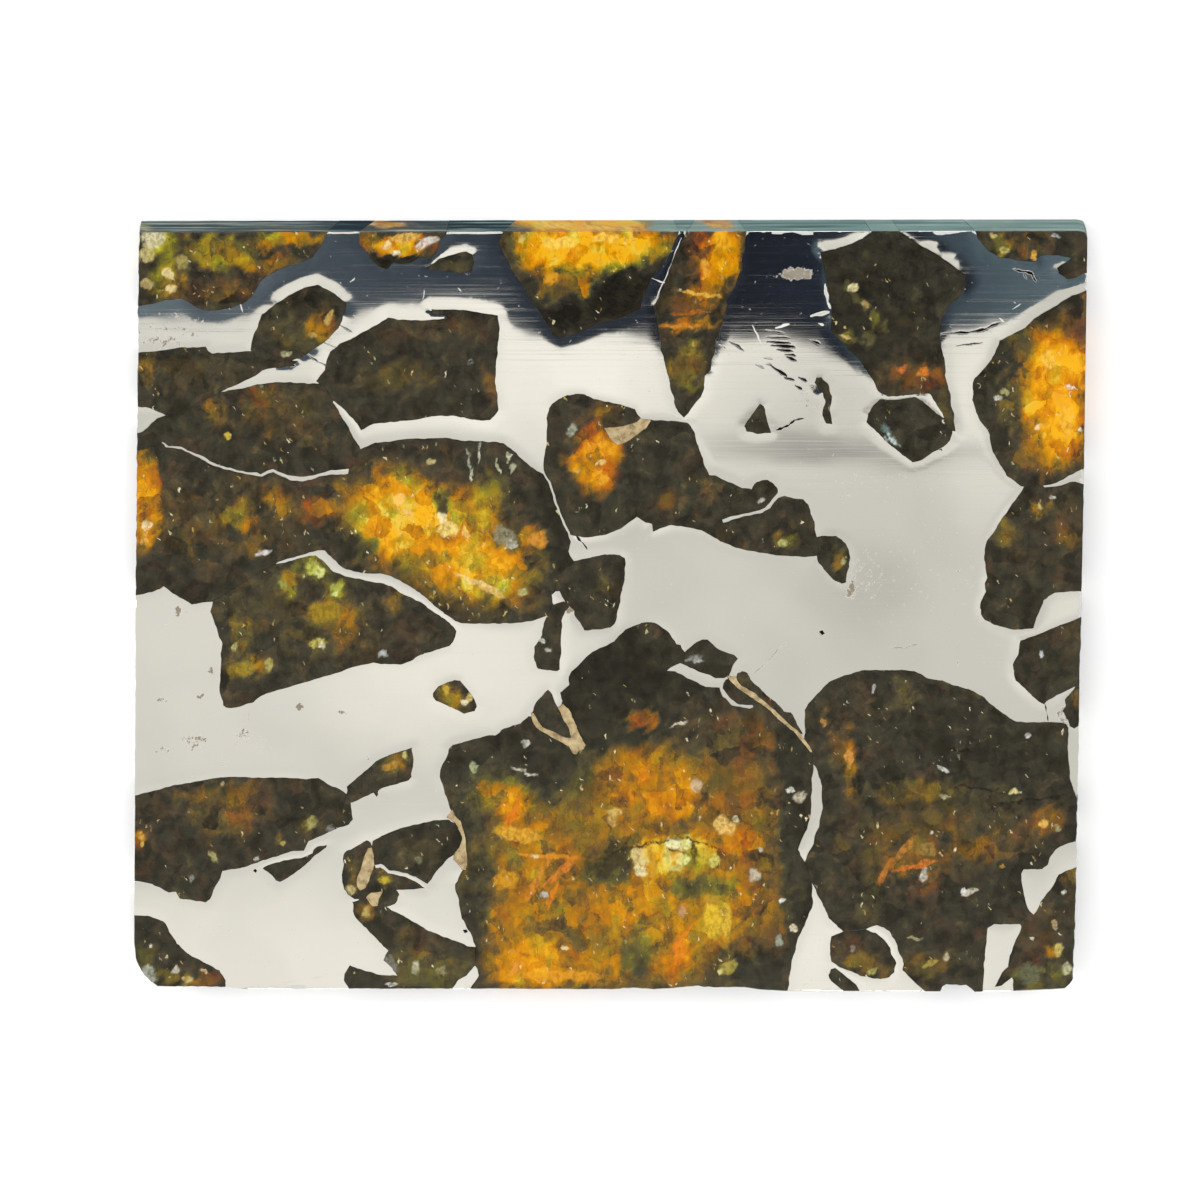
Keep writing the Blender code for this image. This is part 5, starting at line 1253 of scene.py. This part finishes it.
def addFloor():
    bpy.ops.mesh.primitive_plane_add(size=studio["floorSize"], location=(0.0, 0.0, -studio["floorDrop"]))
    floor = bpy.context.active_object
    floor.name = "paleTable"
    material, tree, shader, place = newMaterial("paleTable")
    shade = remap(noise(place, 0.04, 2.0), 0.3, 0.7, 0.99, 1.0)
    feed(shader.inputs["Base Color"], dimmed(studio["floor"], shade))
    feed(shader.inputs["Roughness"], 0.9)
    feed(shader.inputs["Specular IOR Level"], 0.0)
    floor.data.materials.append(material)


def addLamps():
    for name, (spot, power) in studio["lamps"].items():
        bpy.ops.object.light_add(type="AREA", location=spot)
        lamp = bpy.context.active_object
        lamp.name = name
        lamp.data.shape = "SQUARE"
        lamp.data.size = studio["lampSize"]
        lamp.data.energy = power
        lamp.rotation_euler = (-Vector(spot)).to_track_quat("-Z", "Y").to_euler()
        lamp.visible_camera = False


def addWorld():
    # plain air, but polished metal mirrors soft panels, a bright middle and a shaded wall
    world = bpy.data.worlds.new("studioAir")
    world.use_nodes = True
    bpy.context.scene.world = world
    tree = world.node_tree
    direction = wires(newNode(tree, "ShaderNodeTexCoord"))["Generated"]
    panels = noise(direction, 9.0, 1.0, 0.4, flat=False)
    mirrored = remap(panels, 0.36, 0.64, *studio["panels"], kind="SMOOTHSTEP")
    parts = parted(direction)
    shaded = remap(parts["Y"], 0.3, 0.5) * remap(parts["Z"], 0.6, 0.75)
    mirrored = mirrored * (1.0 - shaded * studio["shadedShare"])
    overhead = remap(parts["Z"], 0.90, 0.97)
    mirrored = mirrored * (1.0 - overhead) + overhead * studio["overhead"]
    glossy = wires(newNode(tree, "ShaderNodeLightPath"))["Is Glossy Ray"]
    air = tree.nodes["Background"].inputs
    feed(air["Color"], (1.0, 1.0, 1.0))
    feed(air["Strength"], (1.0 - glossy) * studio["world"] + glossy * mirrored)


def reflectedFrom(x, y):
    # where the line of sight through a photo point goes after the polished face, at the board's height
    view = photoView
    faceX, faceY = (value / mm for value in onFace(x, y))
    cameraX, cameraY = view["target"][0], view["target"][1] + view["distance"] * math.sin(view["tilt"])
    climb = board["height"] / (view["distance"] * math.cos(view["tilt"]))
    return faceX + climb * (faceX - cameraX), faceY + climb * (faceY - cameraY)


def boardColour(tree):
    look = board
    wide, tall = look["size"]
    generated = wires(newNode(tree, "ShaderNodeTexCoord"))["Generated"]
    turnedDown = (generated - (0.0, 1.0, 0.0)) * (1.0, -1.0, 0.0)
    points = turnedDown * (wide, tall, 0.0) + (*look["topLeft"], 0.0)
    light = look["level"]
    for x, y, width, height, more in look["parts"]:
        light = useGroup(softSpot, Place=points, Centre=(x, y, 0.0), Size=(width, height, 1.0), Light=more,
                         Before=light)["Light"]
    across, down = parted(generated)["X"], parted(turnedDown)["Y"]
    border = addNode("ShaderNodeFloatCurve", {"Value": across})
    curve = border.mapping.curves[0]
    places = [(x / wide, (y - look["topLeft"][1]) / tall) for x, y in look["border"]]
    for x, y in places[1:-1]:
        curve.points.new(x, y)
    for point, place in zip(curve.points, places):
        point.location = place
    border.mapping.update()
    streaks = noise(points * (0.012, 0.35, 0.0), 1.0)
    above = wires(border)["Value"] - (down + (streaks - 0.5) * look["streaks"])
    band = dimmed(ramp(across, look["band"]), remap(streaks, 0.3, 0.7, 0.55, 1.5))
    # so that the metal mirrors the colour as it is seen
    band = band * (1.0 / metalLook["colour"][0])
    share = remap(above, -0.002, 0.004, kind="SMOOTHSTEP")
    return blendColour(share, operate("SCALE", look["tint"], light), band)


def addReflectedBoard():
    look = board
    left, upper = reflectedFrom(*look["topLeft"])
    right, lower = reflectedFrom(*(start + size for start, size in zip(look["topLeft"], look["size"])))
    middle = ((left + right) / 2, (upper + lower) / 2, faceHeight + look["height"])
    bpy.ops.mesh.primitive_plane_add(size=1.0, location=middle)
    card = bpy.context.active_object
    card.name = "ceilingBoard"
    card.scale = (right - left, upper - lower, 1.0)
    material, tree, shader = nodeMaterial("ceilingBoard")
    tree.nodes.remove(shader)
    glow = newNode(tree, "ShaderNodeEmission")
    feed(tree.nodes["Material Output"].inputs["Surface"], Wire(glow.outputs[0]))
    feed(glow.inputs["Color"], boardColour(tree))
    card.data.materials.append(material)
    for rays in ("camera", "diffuse", "transmission", "shadow", "volume_scatter"):
        setattr(card, "visible_" + rays, False)


def addCamera():
    view = photoView
    tilt, distance = view["tilt"], view["distance"]
    place = (view["target"][0], view["target"][1] + distance * math.sin(tilt),
             faceHeight + distance * math.cos(tilt))
    bpy.ops.object.camera_add(location=place, rotation=(-tilt, 0.0, 0.0))
    camera = bpy.context.active_object
    camera.data.sensor_width = view["sensor"]
    camera.data.lens = view["focus"] / view["size"] * view["sensor"]
    camera.data.clip_end = 20.0
    bpy.context.scene.camera = camera


bpy.ops.object.select_all(action="DESELECT")
addFloor()
addLamps()
addWorld()
addReflectedBoard()
addCamera()
bpy.context.scene.view_settings.view_transform = "Standard"
print("studio set")
